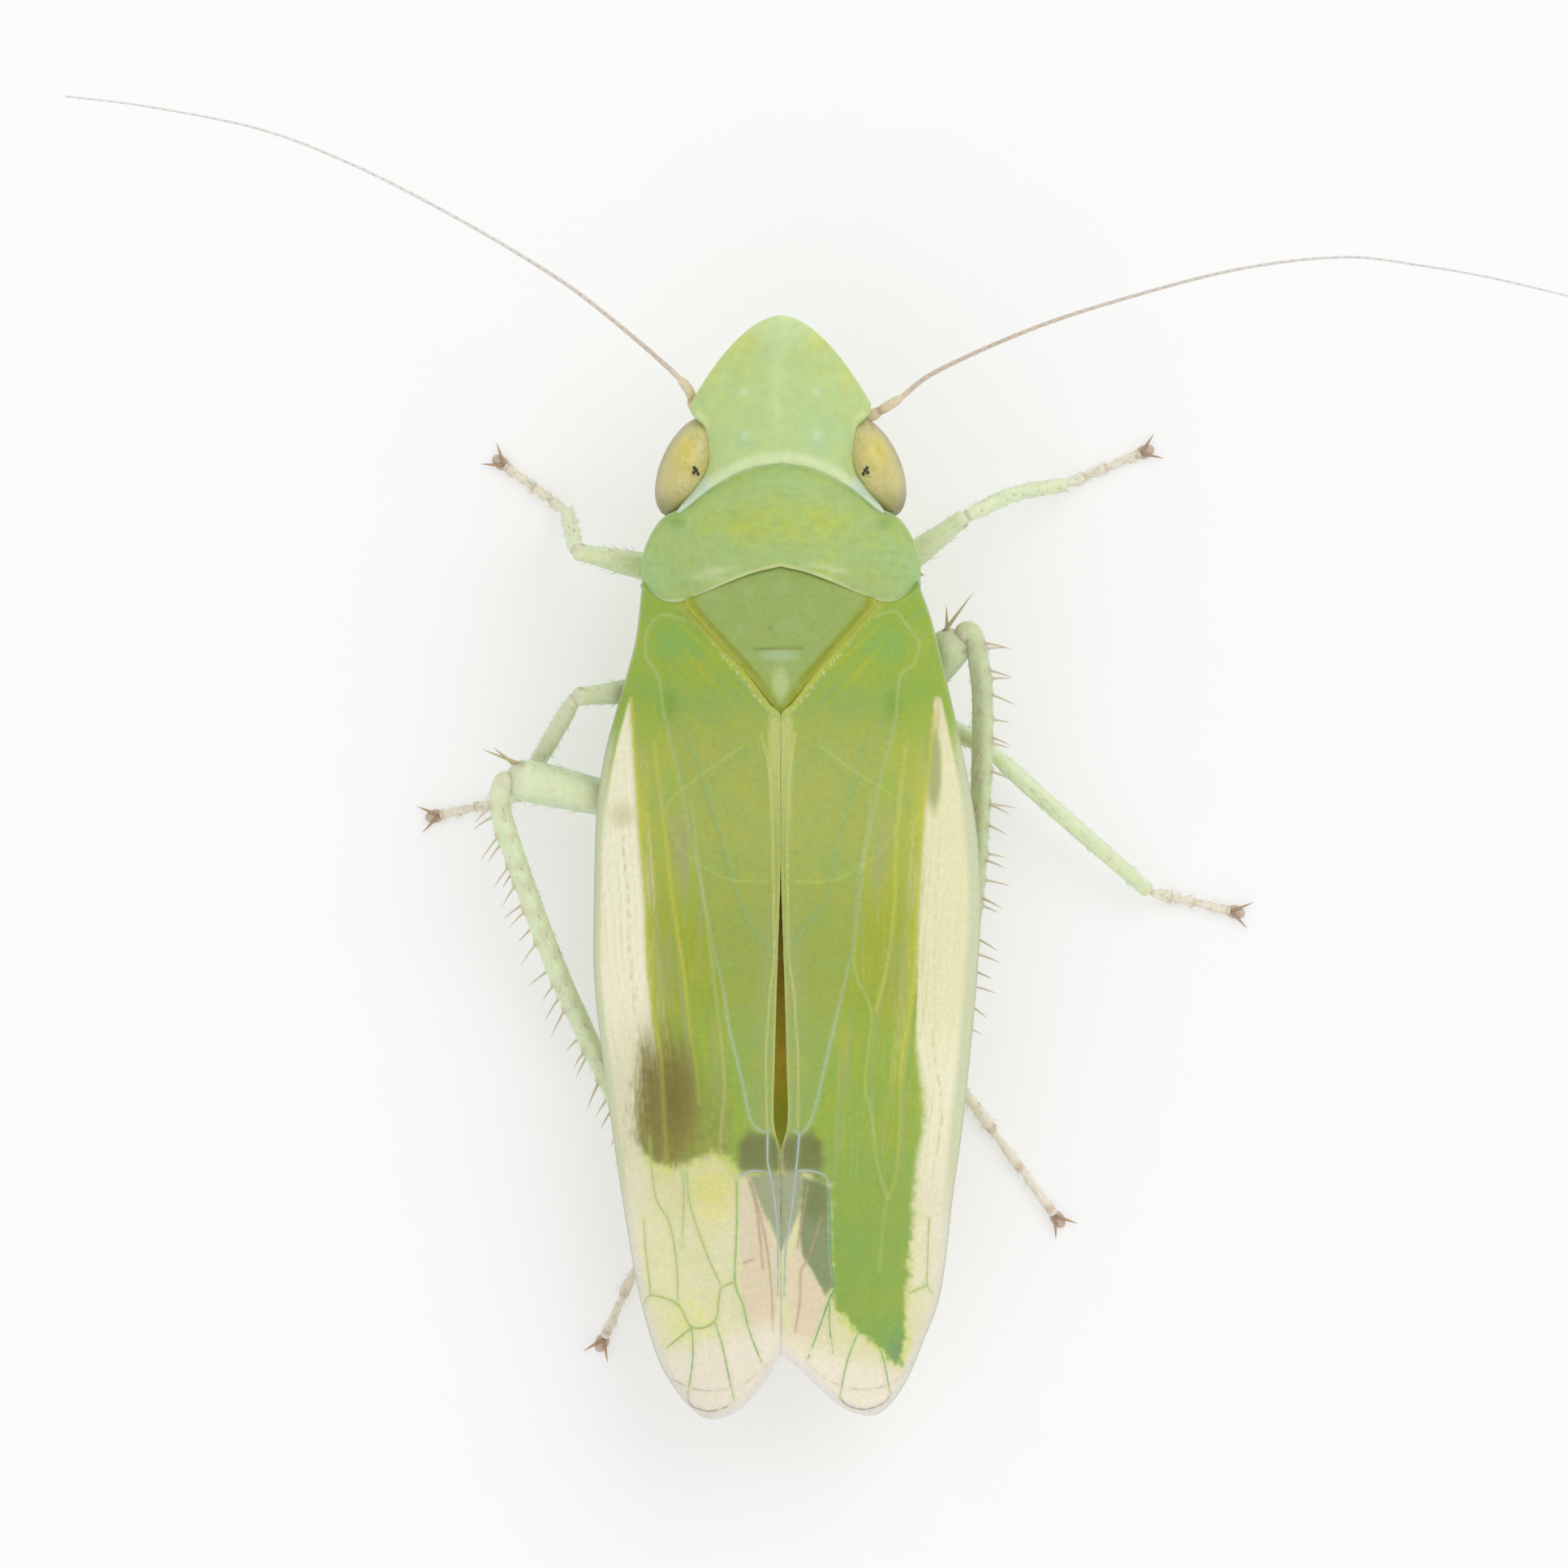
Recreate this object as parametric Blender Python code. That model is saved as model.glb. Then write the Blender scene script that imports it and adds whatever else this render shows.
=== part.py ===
"""A life-size pale green leafhopper that stands on its six feet with its wings folded.

Every size below is in millimetres and the meshes are set to metres at the end. The head points
to -Y, the animal's left side is +X, up is +Z, and the origin is on the floor under the midline.
"""
import math
import random

import bmesh
import bpy
import numpy as np
from mathutils import Matrix, Vector
from mathutils.geometry import delaunay_2d_cdt

MM = 0.001
GAP = 0.01
SEED = 7

# Head
HEAD_TIP = -2.128
HEAD_BACK = -1.28
HEAD_TIP_HEIGHT = 1.03
NOSE_WIDTH = 0.70
NOSE_POWER = 0.56
EYE_CENTRE = (0.445, -1.402, 0.935)
EYE_RADII = (0.130, 0.258, 0.222)
EYE_TURN = math.radians(-24.0)

# Back plates
PRONOTUM_HALF_WIDTH = 0.675
PRONOTUM_TOP = 1.30
PRONOTUM_DROP = 0.36
PLATE_THICKNESS = 0.055
PRONOTUM_RIM = 0.05
PRONOTUM_RIM_FALL = 0.018
PRONOTUM_SPACING = 0.085
SCUTELLUM_TIP = -0.212
SCUTELLUM_HALF_WIDTH = 0.438
SCUTELLUM_SPACING = 0.09

# Wings
WING_THICKNESS = 0.034
HINDWING_THICKNESS = 0.02
HINDWING_DEPTH = 0.075
WING_CLEARANCE = 0.012
VEIN_HEIGHT = 0.013
VEIN_HALF_WIDTH = 0.016
NOTCH = 2.872
SLIT_HALF_WIDTH = 0.030
WING_SPACING = 0.15
HINDWING_SPACING = 0.28

# Body below the wings
BELLY_HEIGHT = 0.30
THORAX_FRONT = -1.27
ABDOMEN_FRONT = 0.02
ABDOMEN_TIP = 2.02
ABDOMEN_RINGS = 8

# Legs
ANKLE_HEIGHT = 0.115
FOOT_RADIUS = 0.024
CLAW_LENGTH = 0.12
CLAW_SPREAD = 0.65
SPINE_LENGTH = 0.15
SPINE_RADIUS = 0.012
SPINES_IN_ROW = 12
THORN_RADIUS = 0.016

MATERIALS = {
    "cuticle_green": ((0.50, 0.68, 0.28), 0.38),
    "pronotum_green": ((0.45, 0.66, 0.22), 0.38),
    "wing_green": ((0.46, 0.62, 0.20), 0.32),
    "hindwing_film": ((0.78, 0.74, 0.66), 0.30),
    "eye_cream": ((0.70, 0.66, 0.30), 0.22),
    "antenna_beige": ((0.56, 0.47, 0.36), 0.50),
    "leg_green": ((0.60, 0.74, 0.50), 0.40),
    "foot_brown": ((0.50, 0.38, 0.28), 0.50),
    "abdomen_olive": ((0.36, 0.36, 0.08), 0.45),
}


def clear_scene():
    for old in list(bpy.data.objects):
        bpy.data.objects.remove(old)


def material(slot):
    """The plain material of a slot, made once."""
    found = bpy.data.materials.get(slot)
    if found:
        return found
    colour, roughness = MATERIALS[slot]
    made = bpy.data.materials.new(slot)
    made.use_nodes = True
    shader = made.node_tree.nodes["Principled BSDF"]
    shader.inputs["Base Color"].default_value = (*colour, 1.0)
    shader.inputs["Roughness"].default_value = roughness
    shader.inputs["Metallic"].default_value = 0.0
    return made


def profile(*knots):
    """A smooth function through (place, value) knots, held level past its two ends."""
    places = [knot[0] for knot in knots]
    values = [knot[1] for knot in knots]
    last = len(knots) - 1
    slopes = []
    for i in range(len(knots)):
        before, after = max(i - 1, 0), min(i + 1, last)
        slopes.append((values[after] - values[before]) / (places[after] - places[before]))

    def at(place):
        if place <= places[0]:
            return values[0]
        if place >= places[-1]:
            return values[-1]
        i = max(j for j in range(last) if places[j] <= place)
        span = places[i + 1] - places[i]
        t = (place - places[i]) / span
        start = (2 * t**3 - 3 * t**2 + 1) * values[i] + (t**3 - 2 * t**2 + t) * span * slopes[i]
        end = (3 * t**2 - 2 * t**3) * values[i + 1] + (t**3 - t**2) * span * slopes[i + 1]
        return start + end

    return at


def curve_through(points, steps):
    """Points of one smooth curve through the given points, with steps on each stretch."""
    points = [Vector(point) for point in points]
    padded = [2 * points[0] - points[1], *points, 2 * points[-1] - points[-2]]
    route = []
    for a, b, c, d in zip(padded, padded[1:], padded[2:], padded[3:]):
        for step in range(steps):
            t = step / steps
            route.append(0.5 * ((2 * b) + (c - a) * t + (2 * a - 5 * b + 4 * c - d) * t**2
                                + (3 * b - a - 3 * c + d) * t**3))
    return [*route, points[-1]]


def evenly(points, spacing):
    """The same route with its points about one spacing apart."""
    lengths = [0.0]
    for a, b in zip(points, points[1:]):
        lengths.append(lengths[-1] + (b - a).length)
    count = max(1, round(lengths[-1] / spacing))
    places = np.linspace(0, lengths[-1], count + 1)
    columns = [np.interp(places, lengths, [p[axis] for p in points]) for axis in range(len(points[0]))]
    return [Vector(row) for row in zip(*columns)]


def as_object(mesh_builder, name, slot):
    """Closes a bmesh into a named object with its material."""
    bmesh.ops.recalc_face_normals(mesh_builder, faces=mesh_builder.faces)
    mesh = bpy.data.meshes.new(name)
    mesh_builder.to_mesh(mesh)
    mesh_builder.free()
    piece = bpy.data.objects.new(name, mesh)
    bpy.context.scene.collection.objects.link(piece)
    mesh.materials.append(material(slot))
    return piece


def loft(name, slot, rings):
    """A closed skin over rings of equal length, with a fan of faces on each end."""
    built = bmesh.new()
    rows = [[built.verts.new(point) for point in ring] for ring in rings]
    count = len(rows[0])
    for low, high in zip(rows, rows[1:]):
        for i in range(count):
            j = (i + 1) % count
            built.faces.new((low[i], low[j], high[j], high[i]))
    for row in (rows[0], rows[-1]):
        middle = built.verts.new(sum((v.co for v in row), Vector()) / count)
        for i in range(count):
            built.faces.new((row[i], row[(i + 1) % count], middle))
    return as_object(built, name, slot)


def tube_rings(route, radii, sides):
    """Rings along a route, each square to it, with no twist from one to the next."""
    rings = []
    across = None
    last = len(route) - 1
    for i, (point, radius) in enumerate(zip(route, radii)):
        along = (route[min(i + 1, last)] - route[max(i - 1, 0)]).normalized()
        if across is None:
            across = along.orthogonal().normalized()
        across = (across - along * across.dot(along)).normalized()
        up = along.cross(across)
        ring = []
        for k in range(sides):
            angle = 2 * math.pi * k / sides
            ring.append(point + radius * (math.cos(angle) * across + math.sin(angle) * up))
        rings.append(ring)
    return rings


def tube(name, slot, route, radius_at, sides, round_ends=True):
    """A tapering tube. radius_at takes the share of the length, from 0 to 1."""
    lengths = [0.0]
    for a, b in zip(route, route[1:]):
        lengths.append(lengths[-1] + (b - a).length)
    radii = [radius_at(length / lengths[-1]) for length in lengths]
    route = list(route)
    if round_ends:
        for end, inner in ((0, 1), (-1, -2)):
            outwards = (route[end] - route[inner]).normalized()
            radius = radii[end]
            extra = [(route[end] + outwards * radius * math.sin(a), radius * math.cos(a))
                     for a in (math.radians(40), math.radians(72))]
            if end == 0:
                route = [extra[1][0], extra[0][0], *route]
                radii = [extra[1][1], extra[0][1], *radii]
            else:
                route = [*route, extra[0][0], extra[1][0]]
                radii = [*radii, extra[0][1], extra[1][1]]
    return loft(name, slot, tube_rings(route, radii, sides))


def apply_modifiers(piece):
    """Bakes a piece's modifiers into its mesh."""
    depsgraph = bpy.context.evaluated_depsgraph_get()
    mesh = bpy.data.meshes.new_from_object(piece.evaluated_get(depsgraph))
    piece.modifiers.clear()
    piece.data = mesh


def shell_faces(start):
    """All the faces joined to one face by their edges."""
    found = {start}
    waiting = [start]
    while waiting:
        for edge in waiting.pop().edges:
            for face in edge.link_faces:
                if face not in found:
                    found.add(face)
                    waiting.append(face)
    return found


def face_volume(face):
    """The signed volume of the cone from the origin to a face."""
    first = face.verts[0].co
    return sum(first.dot(a.co.cross(b.co)) for a, b in zip(face.verts[1:], face.verts[2:])) / 6


def keep_largest(piece):
    """Leaves only the largest closed surface of a piece."""
    built = bmesh.new()
    built.from_mesh(piece.data)
    left = set(built.faces)
    shells = []
    while left:
        shell = shell_faces(next(iter(left)))
        left -= shell
        shells.append(shell)
    largest = max(shells, key=lambda shell: abs(sum(face_volume(face) for face in shell)))
    spare = [face for shell in shells if shell is not largest for face in shell]
    bmesh.ops.delete(built, geom=spare, context="FACES")
    bmesh.ops.delete(built, geom=[v for v in built.verts if not v.link_faces], context="VERTS")
    built.to_mesh(piece.data)
    built.free()


def fuse(piece, extras):
    """Joins closed extras to a piece as one solid and removes them."""
    group = bpy.data.collections.new("extras")
    for extra in extras:
        group.objects.link(extra)
    union = piece.modifiers.new("fuse", "BOOLEAN")
    union.operation = "UNION"
    union.operand_type = "COLLECTION"
    union.collection = group
    apply_modifiers(piece)
    for extra in extras:
        bpy.data.objects.remove(extra)
    bpy.data.collections.remove(group)
    keep_largest(piece)


def grown(piece, reach):
    """A copy of a piece whose surface stands out by the reach."""
    built = bmesh.new()
    built.from_mesh(piece.data)
    built.normal_update()
    moves = [v.normal * reach * min(v.calc_shell_factor(), 2.0) for v in built.verts]
    for v, move in zip(built.verts, moves):
        v.co += move
    mesh = bpy.data.meshes.new("grown")
    built.to_mesh(mesh)
    built.free()
    copy = bpy.data.objects.new("grown", mesh)
    bpy.context.scene.collection.objects.link(copy)
    return copy


def cut_clear(piece, neighbours):
    """Cuts a piece back so that it meets its neighbours face to face with the gap between.

    The exact solver empties some of these small pieces, so the manifold one makes the cuts.
    """
    for neighbour in neighbours:
        cutter = grown(neighbour, GAP)
        cut = piece.modifiers.new("clear", "BOOLEAN")
        cut.operation = "DIFFERENCE"
        cut.solver = "MANIFOLD"
        cut.object = cutter
        apply_modifiers(piece)
        bpy.data.objects.remove(cutter)
    keep_largest(piece)
    return piece


# Surfaces of the back, as heights over the floor

back_ridge = profile((-1.45, 1.215), (-1.2, 1.272), (-1.0, PRONOTUM_TOP), (-0.7, 1.29))
wing_ridge = profile((-0.85, 1.25), (-0.3, 1.245), (0.5, 1.235), (1.5, 1.17), (2.4, 1.07), (3.2, 0.95))
wing_drop = profile((-0.85, 0.28), (-0.3, 0.40), (0.3, 0.57), (1.0, 0.60), (2.0, 0.52), (3.2, 0.36))
left_half = profile((-0.85, 0.68), (-0.24, 0.787), (0.25, 0.885), (0.65, 0.898), (1.1, 0.896),
                    (1.55, 0.842), (2.03, 0.776), (2.52, 0.694), (3.17, 0.58))
right_half = profile((-0.85, 0.69), (-0.30, 0.814), (0.1, 0.90), (0.63, 0.963), (1.03, 0.947),
                     (1.69, 0.885), (2.1, 0.83), (2.56, 0.762), (3.17, 0.62))
scutellum_side = profile((-0.735, SCUTELLUM_HALF_WIDTH + 0.016), (-0.588, 0.322), (-0.429, 0.18),
                         (-0.308, 0.088), (SCUTELLUM_TIP, 0.012))


def pronotum_height(x, y):
    return back_ridge(y) - PRONOTUM_DROP * (abs(x) / PRONOTUM_HALF_WIDTH) ** 2.2


def scutellum_height(x, y):
    base = 1.265 - 0.045 * (y + 0.9) / 0.7
    return base - 0.42 * x * x - 0.012 * math.exp(-(((y + 0.53) / 0.05) ** 2))


def wing_height(x, y):
    """The height of a forewing's membrane at a place of the plan view."""
    half = left_half(y) if x > 0 else right_half(y)
    share = abs(x) / half
    return wing_ridge(y) - wing_drop(y) * (0.2 * share + 0.8 * share**2.4)


def head_ring(y, sides=24):
    """One cross-section of the head: a low crown above its edge and a deep face below."""
    depth = y - HEAD_TIP
    half = crown_half(y)
    edge = HEAD_TIP_HEIGHT + 0.06 * min(depth / 0.7, 1.0)
    crown = 0.005 + 0.145 * (1 - math.exp(-depth / 0.45))
    face = 0.35 * math.sqrt(depth) + 0.40 * depth
    ring = []
    for k in range(sides):
        angle = 2 * math.pi * k / sides
        x, up = math.cos(angle), math.sin(angle)
        if up >= 0:
            ring.append(Vector((half * x, y, edge + crown * up)))
        else:
            narrow = 1 - 0.22 * (-up) ** 2
            ring.append(Vector((half * x * narrow, y, edge + face * up)))
    return ring


def crown_half(y):
    """Half the head's width: a rounded point in front, then the sockets of the eyes."""
    nose = NOSE_WIDTH * (y - HEAD_TIP) ** NOSE_POWER
    return min(nose, socket_half(y))


socket_half = profile((-1.75, 0.430), (-1.66, 0.430), (-1.63, 0.405), (-1.59, 0.362), (-1.47, 0.349),
                      (-1.42, 0.347), (-1.36, 0.366), (-1.28, 0.400))


def make_head():
    nose = [HEAD_TIP + 0.42 * (k / 11) ** 2.2 for k in range(1, 11)]
    sockets = [-1.70, -1.665, -1.63, -1.59, -1.53, -1.47, -1.42, -1.36, -1.32, HEAD_BACK]
    return loft("head", "cuticle_green", [head_ring(y) for y in [*nose, *sockets]])


def make_eye(side):
    """A bulging oval set into the side of the head."""
    name = "eye_left" if side > 0 else "eye_right"
    built = bmesh.new()
    bmesh.ops.create_uvsphere(built, u_segments=16, v_segments=11, radius=1.0)
    turn = Matrix.Rotation(EYE_TURN * side, 4, "Z")
    for v in built.verts:
        v.co = turn @ Vector(c * r for c, r in zip(v.co, EYE_RADII))
        v.co += Vector((EYE_CENTRE[0] * side, EYE_CENTRE[1], EYE_CENTRE[2]))
    return as_object(built, name, "eye_cream")


def make_rostrum():
    route = curve_through([(0, -1.40, 0.50), (0, -1.22, 0.40), (0, -1.02, 0.30), (0, -0.88, 0.25)], 2)
    return tube("rostrum", "cuticle_green", route, profile((0, 0.075), (0.5, 0.055), (1, 0.03)), 8)


ANTENNA_LEFT = [(0.39, -1.66, 0.93), (0.417, -1.695, 0.95), (0.491, -1.831, 0.99), (0.912, -2.190, 1.08),
                (1.231, -2.405, 1.14), (1.652, -2.646, 1.21), (2.073, -2.856, 1.27), (2.498, -3.016, 1.32),
                (3.024, -3.121, 1.37), (3.429, -3.172, 1.40)]
ANTENNA_RIGHT = [(-0.40, -1.63, 0.93), (-0.455, -1.658, 0.945), (-0.576, -1.732, 0.97),
                 (-0.748, -1.859, 1.00), (-1.192, -2.057, 1.06), (-1.633, -2.202, 1.11),
                 (-2.190, -2.346, 1.16), (-2.697, -2.404, 1.20), (-3.075, -2.362, 1.22),
                 (-3.410, -2.303, 1.23), (-3.870, -2.194, 1.22)]


def make_antenna(side):
    """Two stout joints and a long whip that tapers to a hair."""
    name = "antenna_left" if side > 0 else "antenna_right"
    route = curve_through(ANTENNA_LEFT if side > 0 else ANTENNA_RIGHT, 4)
    radius = profile((0, 0.026), (0.025, 0.028), (0.05, 0.021), (0.07, 0.017), (0.35, 0.0095),
                     (0.7, 0.0065), (1, 0.0045))
    return tube(name, "antenna_beige", route, radius, 6, round_ends=False)


def outline_distance(point, outline):
    """The shortest way from a plan point to a closed outline or an open route."""
    best = 1e9
    for a, b in zip(outline, outline[1:]):
        along = b - a
        t = max(0.0, min(1.0, (point - a).dot(along) / max(along.length_squared, 1e-12)))
        best = min(best, (point - a - along * t).length)
    return best


def is_inside(point, outline):
    """Whether a plan point lies inside a closed outline."""
    inside = False
    for a, b in zip(outline, outline[1:] + outline[:1]):
        if (a.y > point.y) != (b.y > point.y):
            if point.x < (b.x - a.x) * (point.y - a.y) / (b.y - a.y) + a.x:
                inside = not inside
    return inside


def plan_grid(outline, spacing, margin):
    """Loose points inside an outline, a margin clear of its edge."""
    low = (min(p.x for p in outline), min(p.y for p in outline))
    high = (max(p.x for p in outline), max(p.y for p in outline))
    closed = [*outline, outline[0]]
    found = []
    rows = int((high[1] - low[1]) / spacing) + 1
    columns = int((high[0] - low[0]) / spacing) + 2
    for row in range(rows):
        for column in range(columns):
            shift = 0.5 * (row % 2)
            point = Vector((low[0] + (column + shift) * spacing, low[1] + (row + 0.5) * spacing))
            if is_inside(point, outline) and outline_distance(point, closed) > margin:
                found.append(point)
    return found


def offset_route(route, reach):
    """A route moved sideways in plan by the reach."""
    moved = []
    last = len(route) - 1
    for i, point in enumerate(route):
        along = (route[min(i + 1, last)] - route[max(i - 1, 0)]).normalized()
        moved.append(point + Vector((-along.y, along.x)) * reach)
    return moved


def plate(name, slot, outline, top, bottom, spacing, routes=()):
    """A solid over a plan outline, with the same triangles on its upper and lower face."""
    points = list(outline)
    edges = [(i, (i + 1) % len(outline)) for i in range(len(outline))]
    closed = [*outline, outline[0]]
    for route in routes:
        kept = [p for p in route if is_inside(p, outline) and outline_distance(p, closed) > 0.007]
        edges += [(len(points) + i, len(points) + i + 1) for i in range(len(kept) - 1)]
        points += kept
    loose = [p for p in plan_grid(outline, spacing, 0.4 * spacing)
             if all(outline_distance(p, route) > 0.35 * spacing for route in routes)]
    points += loose
    flat, _, faces, _, _, _ = delaunay_2d_cdt(points, edges, [], 1, 1e-5)
    built = bmesh.new()
    above = [built.verts.new((p.x, p.y, top(p.x, p.y))) for p in flat]
    below = [built.verts.new((p.x, p.y, bottom(p.x, p.y))) for p in flat]
    rim = {}
    for face in faces:
        built.faces.new([above[i] for i in face])
        built.faces.new([below[i] for i in reversed(face)])
        for a, b in zip(face, (*face[1:], face[0])):
            rim[(a, b)] = (b, a) not in rim
            if not rim[(a, b)]:
                del rim[(a, b)], rim[(b, a)]
    for a, b in rim:
        built.faces.new((above[b], above[a], below[a], below[b]))
    return as_object(built, name, slot)


def mirrored(points):
    return [Vector((-p[0], p[1])) for p in reversed(points)]


PRONOTUM_FRONT = [(0.0, -1.416), (0.13, -1.394), (0.25, -1.346), (0.354, -1.284), (0.45, -1.215),
                  (0.557, -1.163), (0.618, -1.09), (0.660, -0.99), (0.674, -0.90)]
PRONOTUM_HIND = [(0.655, -0.825), (0.595, -0.768), (0.517, -0.747), (0.40, -0.778), (0.28, -0.832),
                 (0.13, -0.890), (0.0, -0.921)]


def make_pronotum():
    """The saddle behind the head, arched from side to side."""
    right = curve_through(PRONOTUM_FRONT + PRONOTUM_HIND, 2)
    outline = [Vector(p) for p in right] + mirrored(right)[1:-1]

    def top(x, y):
        edge = min(outline_distance(Vector((x, y)), [*outline, outline[0]]) / PRONOTUM_RIM, 1.0)
        return pronotum_height(x, y) - PRONOTUM_RIM_FALL * (1 - edge) ** 2

    def bottom(x, y):
        return pronotum_height(x, y) - PLATE_THICKNESS

    return plate("pronotum", "pronotum_green", outline, top, bottom, PRONOTUM_SPACING)


def make_scutellum():
    """The triangle between the wing bases, with a short groove across it."""
    hind = [p for p in curve_through(PRONOTUM_HIND, 2) if p[0] <= SCUTELLUM_HALF_WIDTH]
    front = [Vector((p[0], p[1] + GAP + 0.002)) for p in reversed(hind)]
    sides = [Vector((scutellum_side(y) - 0.012 - GAP * 0.4, y))
             for y in np.linspace(-0.725, SCUTELLUM_TIP - 0.03, 9)]
    half = [*front, *[p for p in sides if p.x < SCUTELLUM_HALF_WIDTH - 0.003]]
    tip = Vector((0.0, SCUTELLUM_TIP - 0.015))
    outline = [*half, tip, *mirrored(half)[:-1]]

    def bottom(x, y):
        return scutellum_height(x, y) - PLATE_THICKNESS

    return plate("scutellum", "cuticle_green", outline, scutellum_height, bottom, SCUTELLUM_SPACING)


LEFT_EDGE = [(0.668, -0.815), (0.701, -0.553), (0.787, -0.242), (0.846, -0.019), (0.885, 0.253),
             (0.898, 0.643), (0.896, 1.072), (0.842, 1.551), (0.776, 2.030), (0.694, 2.517),
             (0.624, 2.790), (0.557, 2.954), (0.448, 3.102), (0.339, 3.172), (0.203, 3.129),
             (0.078, 2.993), (0.006, NOTCH)]
RIGHT_EDGE = [(0.672, -0.815), (0.729, -0.651), (0.814, -0.304), (0.896, 0.070), (0.939, 0.320),
              (0.963, 0.628), (0.947, 1.033), (0.885, 1.688), (0.830, 2.097), (0.772, 2.557),
              (0.686, 2.802), (0.604, 2.993), (0.511, 3.118), (0.413, 3.157), (0.277, 3.102),
              (0.156, 2.993), (0.058, 2.900), (0.006, 2.862)]
WING_FRONT = [(0.450, -0.738), (0.520, -0.727), (0.600, -0.748)]

# Veins of a wing as (share of the half width, place along the body)
VEINS = {
    "radius": [(0.88, -0.53), (0.84, -0.19), (0.74, 0.29), (0.72, 0.72), (0.70, 1.21), (0.694, 1.55),
               (0.71, 1.81), (0.722, 2.09), (0.708, 2.32), (0.743, 2.611)],
    "media": [(0.756, -0.29), (0.661, 0.25), (0.591, 0.66), (0.53, 1.02), (0.493, 1.29), (0.476, 1.60),
              (0.384, 1.765), (0.325, 1.91), (0.26, 1.995), (0.274, 2.24), (0.308, 2.502), (0.226, 2.72),
              (0.137, 2.907)],
    "suture": [(0.69, -0.565), (0.536, -0.136), (0.441, 0.253), (0.374, 0.682), (0.33, 0.955),
               (0.31, 1.10), (0.241, 1.551), (0.18, 1.703), (0.112, 1.778)],
    "anal_outer": [(0.534, -0.29), (0.361, 0.253), (0.258, 0.526), (0.226, 0.76), (0.135, 0.869)],
    "anal_inner": [(0.16, -0.22), (0.08, 0.06), (0.08, 0.90), (0.10, 1.70)],
    "fork": [(0.493, 1.29), (0.53, 1.578), (0.542, 1.812), (0.548, 2.077), (0.473, 2.377),
             (0.416, 2.521), (0.308, 2.502)],
    "tip_inner": [(0.416, 2.521), (0.48, 2.708), (0.418, 2.903), (0.37, 3.063)],
    "tip_outer": [(0.48, 2.708), (0.65, 2.732), (0.699, 2.903), (0.746, 3.059)],
    "tip_cross": [(0.65, 2.732), (0.743, 2.611), (0.92, 2.592)],
    "cross": [(0.26, 1.995), (0.159, 1.98), (0.075, 1.987)],
    "appendix": [(0.068, 1.87), (0.075, 1.987), (0.040, 2.163), (0.035, 2.631)],
}


def inner_edge(y):
    """How far a forewing's inner edge stands from the midline."""
    closed = 0.5 * GAP + 0.001
    slit = profile((0.58, closed), (1.10, 0.016), (1.485, SLIT_HALF_WIDTH), (1.773, SLIT_HALF_WIDTH),
                   (1.87, closed))
    return max(scutellum_side(y) + GAP * 0.4, slit(y))


def wing_outline(side):
    """The plan of one forewing, from its front corner back along the midline and round."""
    places = [-0.72, -0.64, -0.56, -0.48, -0.40, -0.33, -0.27, -0.21, *np.linspace(-0.1, 1.3, 9),
              1.485, 1.65, 1.773, 1.87, *np.linspace(2.05, 2.75, 5)]
    inner = [Vector((inner_edge(y), y)) for y in places]
    edge = [Vector(p) for p in (LEFT_EDGE if side > 0 else RIGHT_EDGE)]
    outer = evenly(curve_through(edge, 4), 0.10)
    front = [Vector(p) for p in WING_FRONT]
    half = [*inner, *reversed(outer), *reversed(front)]
    return [Vector((p.x * side, p.y)) for p in half]


def vein_routes(side):
    """The middle line of each vein in plan."""
    half = left_half if side > 0 else right_half
    routes = []
    for points in VEINS.values():
        placed = [Vector((share * half(y) * side, y)) for share, y in points]
        routes.append(evenly(curve_through(placed, 4), 0.15))
    return routes


def wing_floor(x, y):
    """The lower face of a forewing."""
    return wing_height(x, y) - WING_THICKNESS


def make_forewing(side):
    """A leathery wing folded roof-like over the back, its veins raised in its upper face."""
    name = "forewing_left" if side > 0 else "forewing_right"
    middles = vein_routes(side)
    reaches = (-VEIN_HALF_WIDTH, VEIN_HALF_WIDTH)
    banks = [offset_route(route, reach) for route in middles for reach in reaches]

    def top(x, y):
        near = min(outline_distance(Vector((x, y)), route) for route in middles)
        raised = max(0.0, 1 - near / VEIN_HALF_WIDTH)
        return wing_height(x, y) + VEIN_HEIGHT * raised

    outline = wing_outline(side)
    return plate(name, "wing_green", outline, top, wing_floor, WING_SPACING, [*middles, *banks])


HINDWING_EDGE = [(0.30, -0.30), (0.50, -0.05), (0.60, 0.5), (0.62, 1.2), (0.58, 1.9), (0.46, 2.4),
                 (0.30, 2.68), (0.14, 2.74), (0.03, 2.62)]


def make_hindwing(side):
    """A thin wing folded flat between the forewing and the back."""
    name = "hindwing_left" if side > 0 else "hindwing_right"
    edge = evenly(curve_through([Vector(p) for p in HINDWING_EDGE], 4), 0.2)
    inner = [Vector((0.03, y)) for y in np.linspace(2.4, -0.02, 10)]
    outline = [Vector((p.x * side, p.y)) for p in [*edge, *inner, Vector((0.12, -0.2))]]

    def top(x, y):
        return wing_height(x, y) - HINDWING_DEPTH

    def bottom(x, y):
        return top(x, y) - HINDWING_THICKNESS

    return plate(name, "hindwing_film", outline, top, bottom, HINDWING_SPACING)


def body_ring(y, half, top, bottom, sides=20, square=2.4):
    """A rounded, slightly boxy cross-section of the trunk."""
    middle, tall = (top + bottom) / 2, (top - bottom) / 2
    ring = []
    for k in range(sides):
        angle = 2 * math.pi * k / sides
        c, s = math.cos(angle), math.sin(angle)
        x = math.copysign(abs(c) ** (2 / square), c) * half
        z = math.copysign(abs(s) ** (2 / square), s) * tall
        ring.append(Vector((x, y, middle + z)))
    return ring


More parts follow.
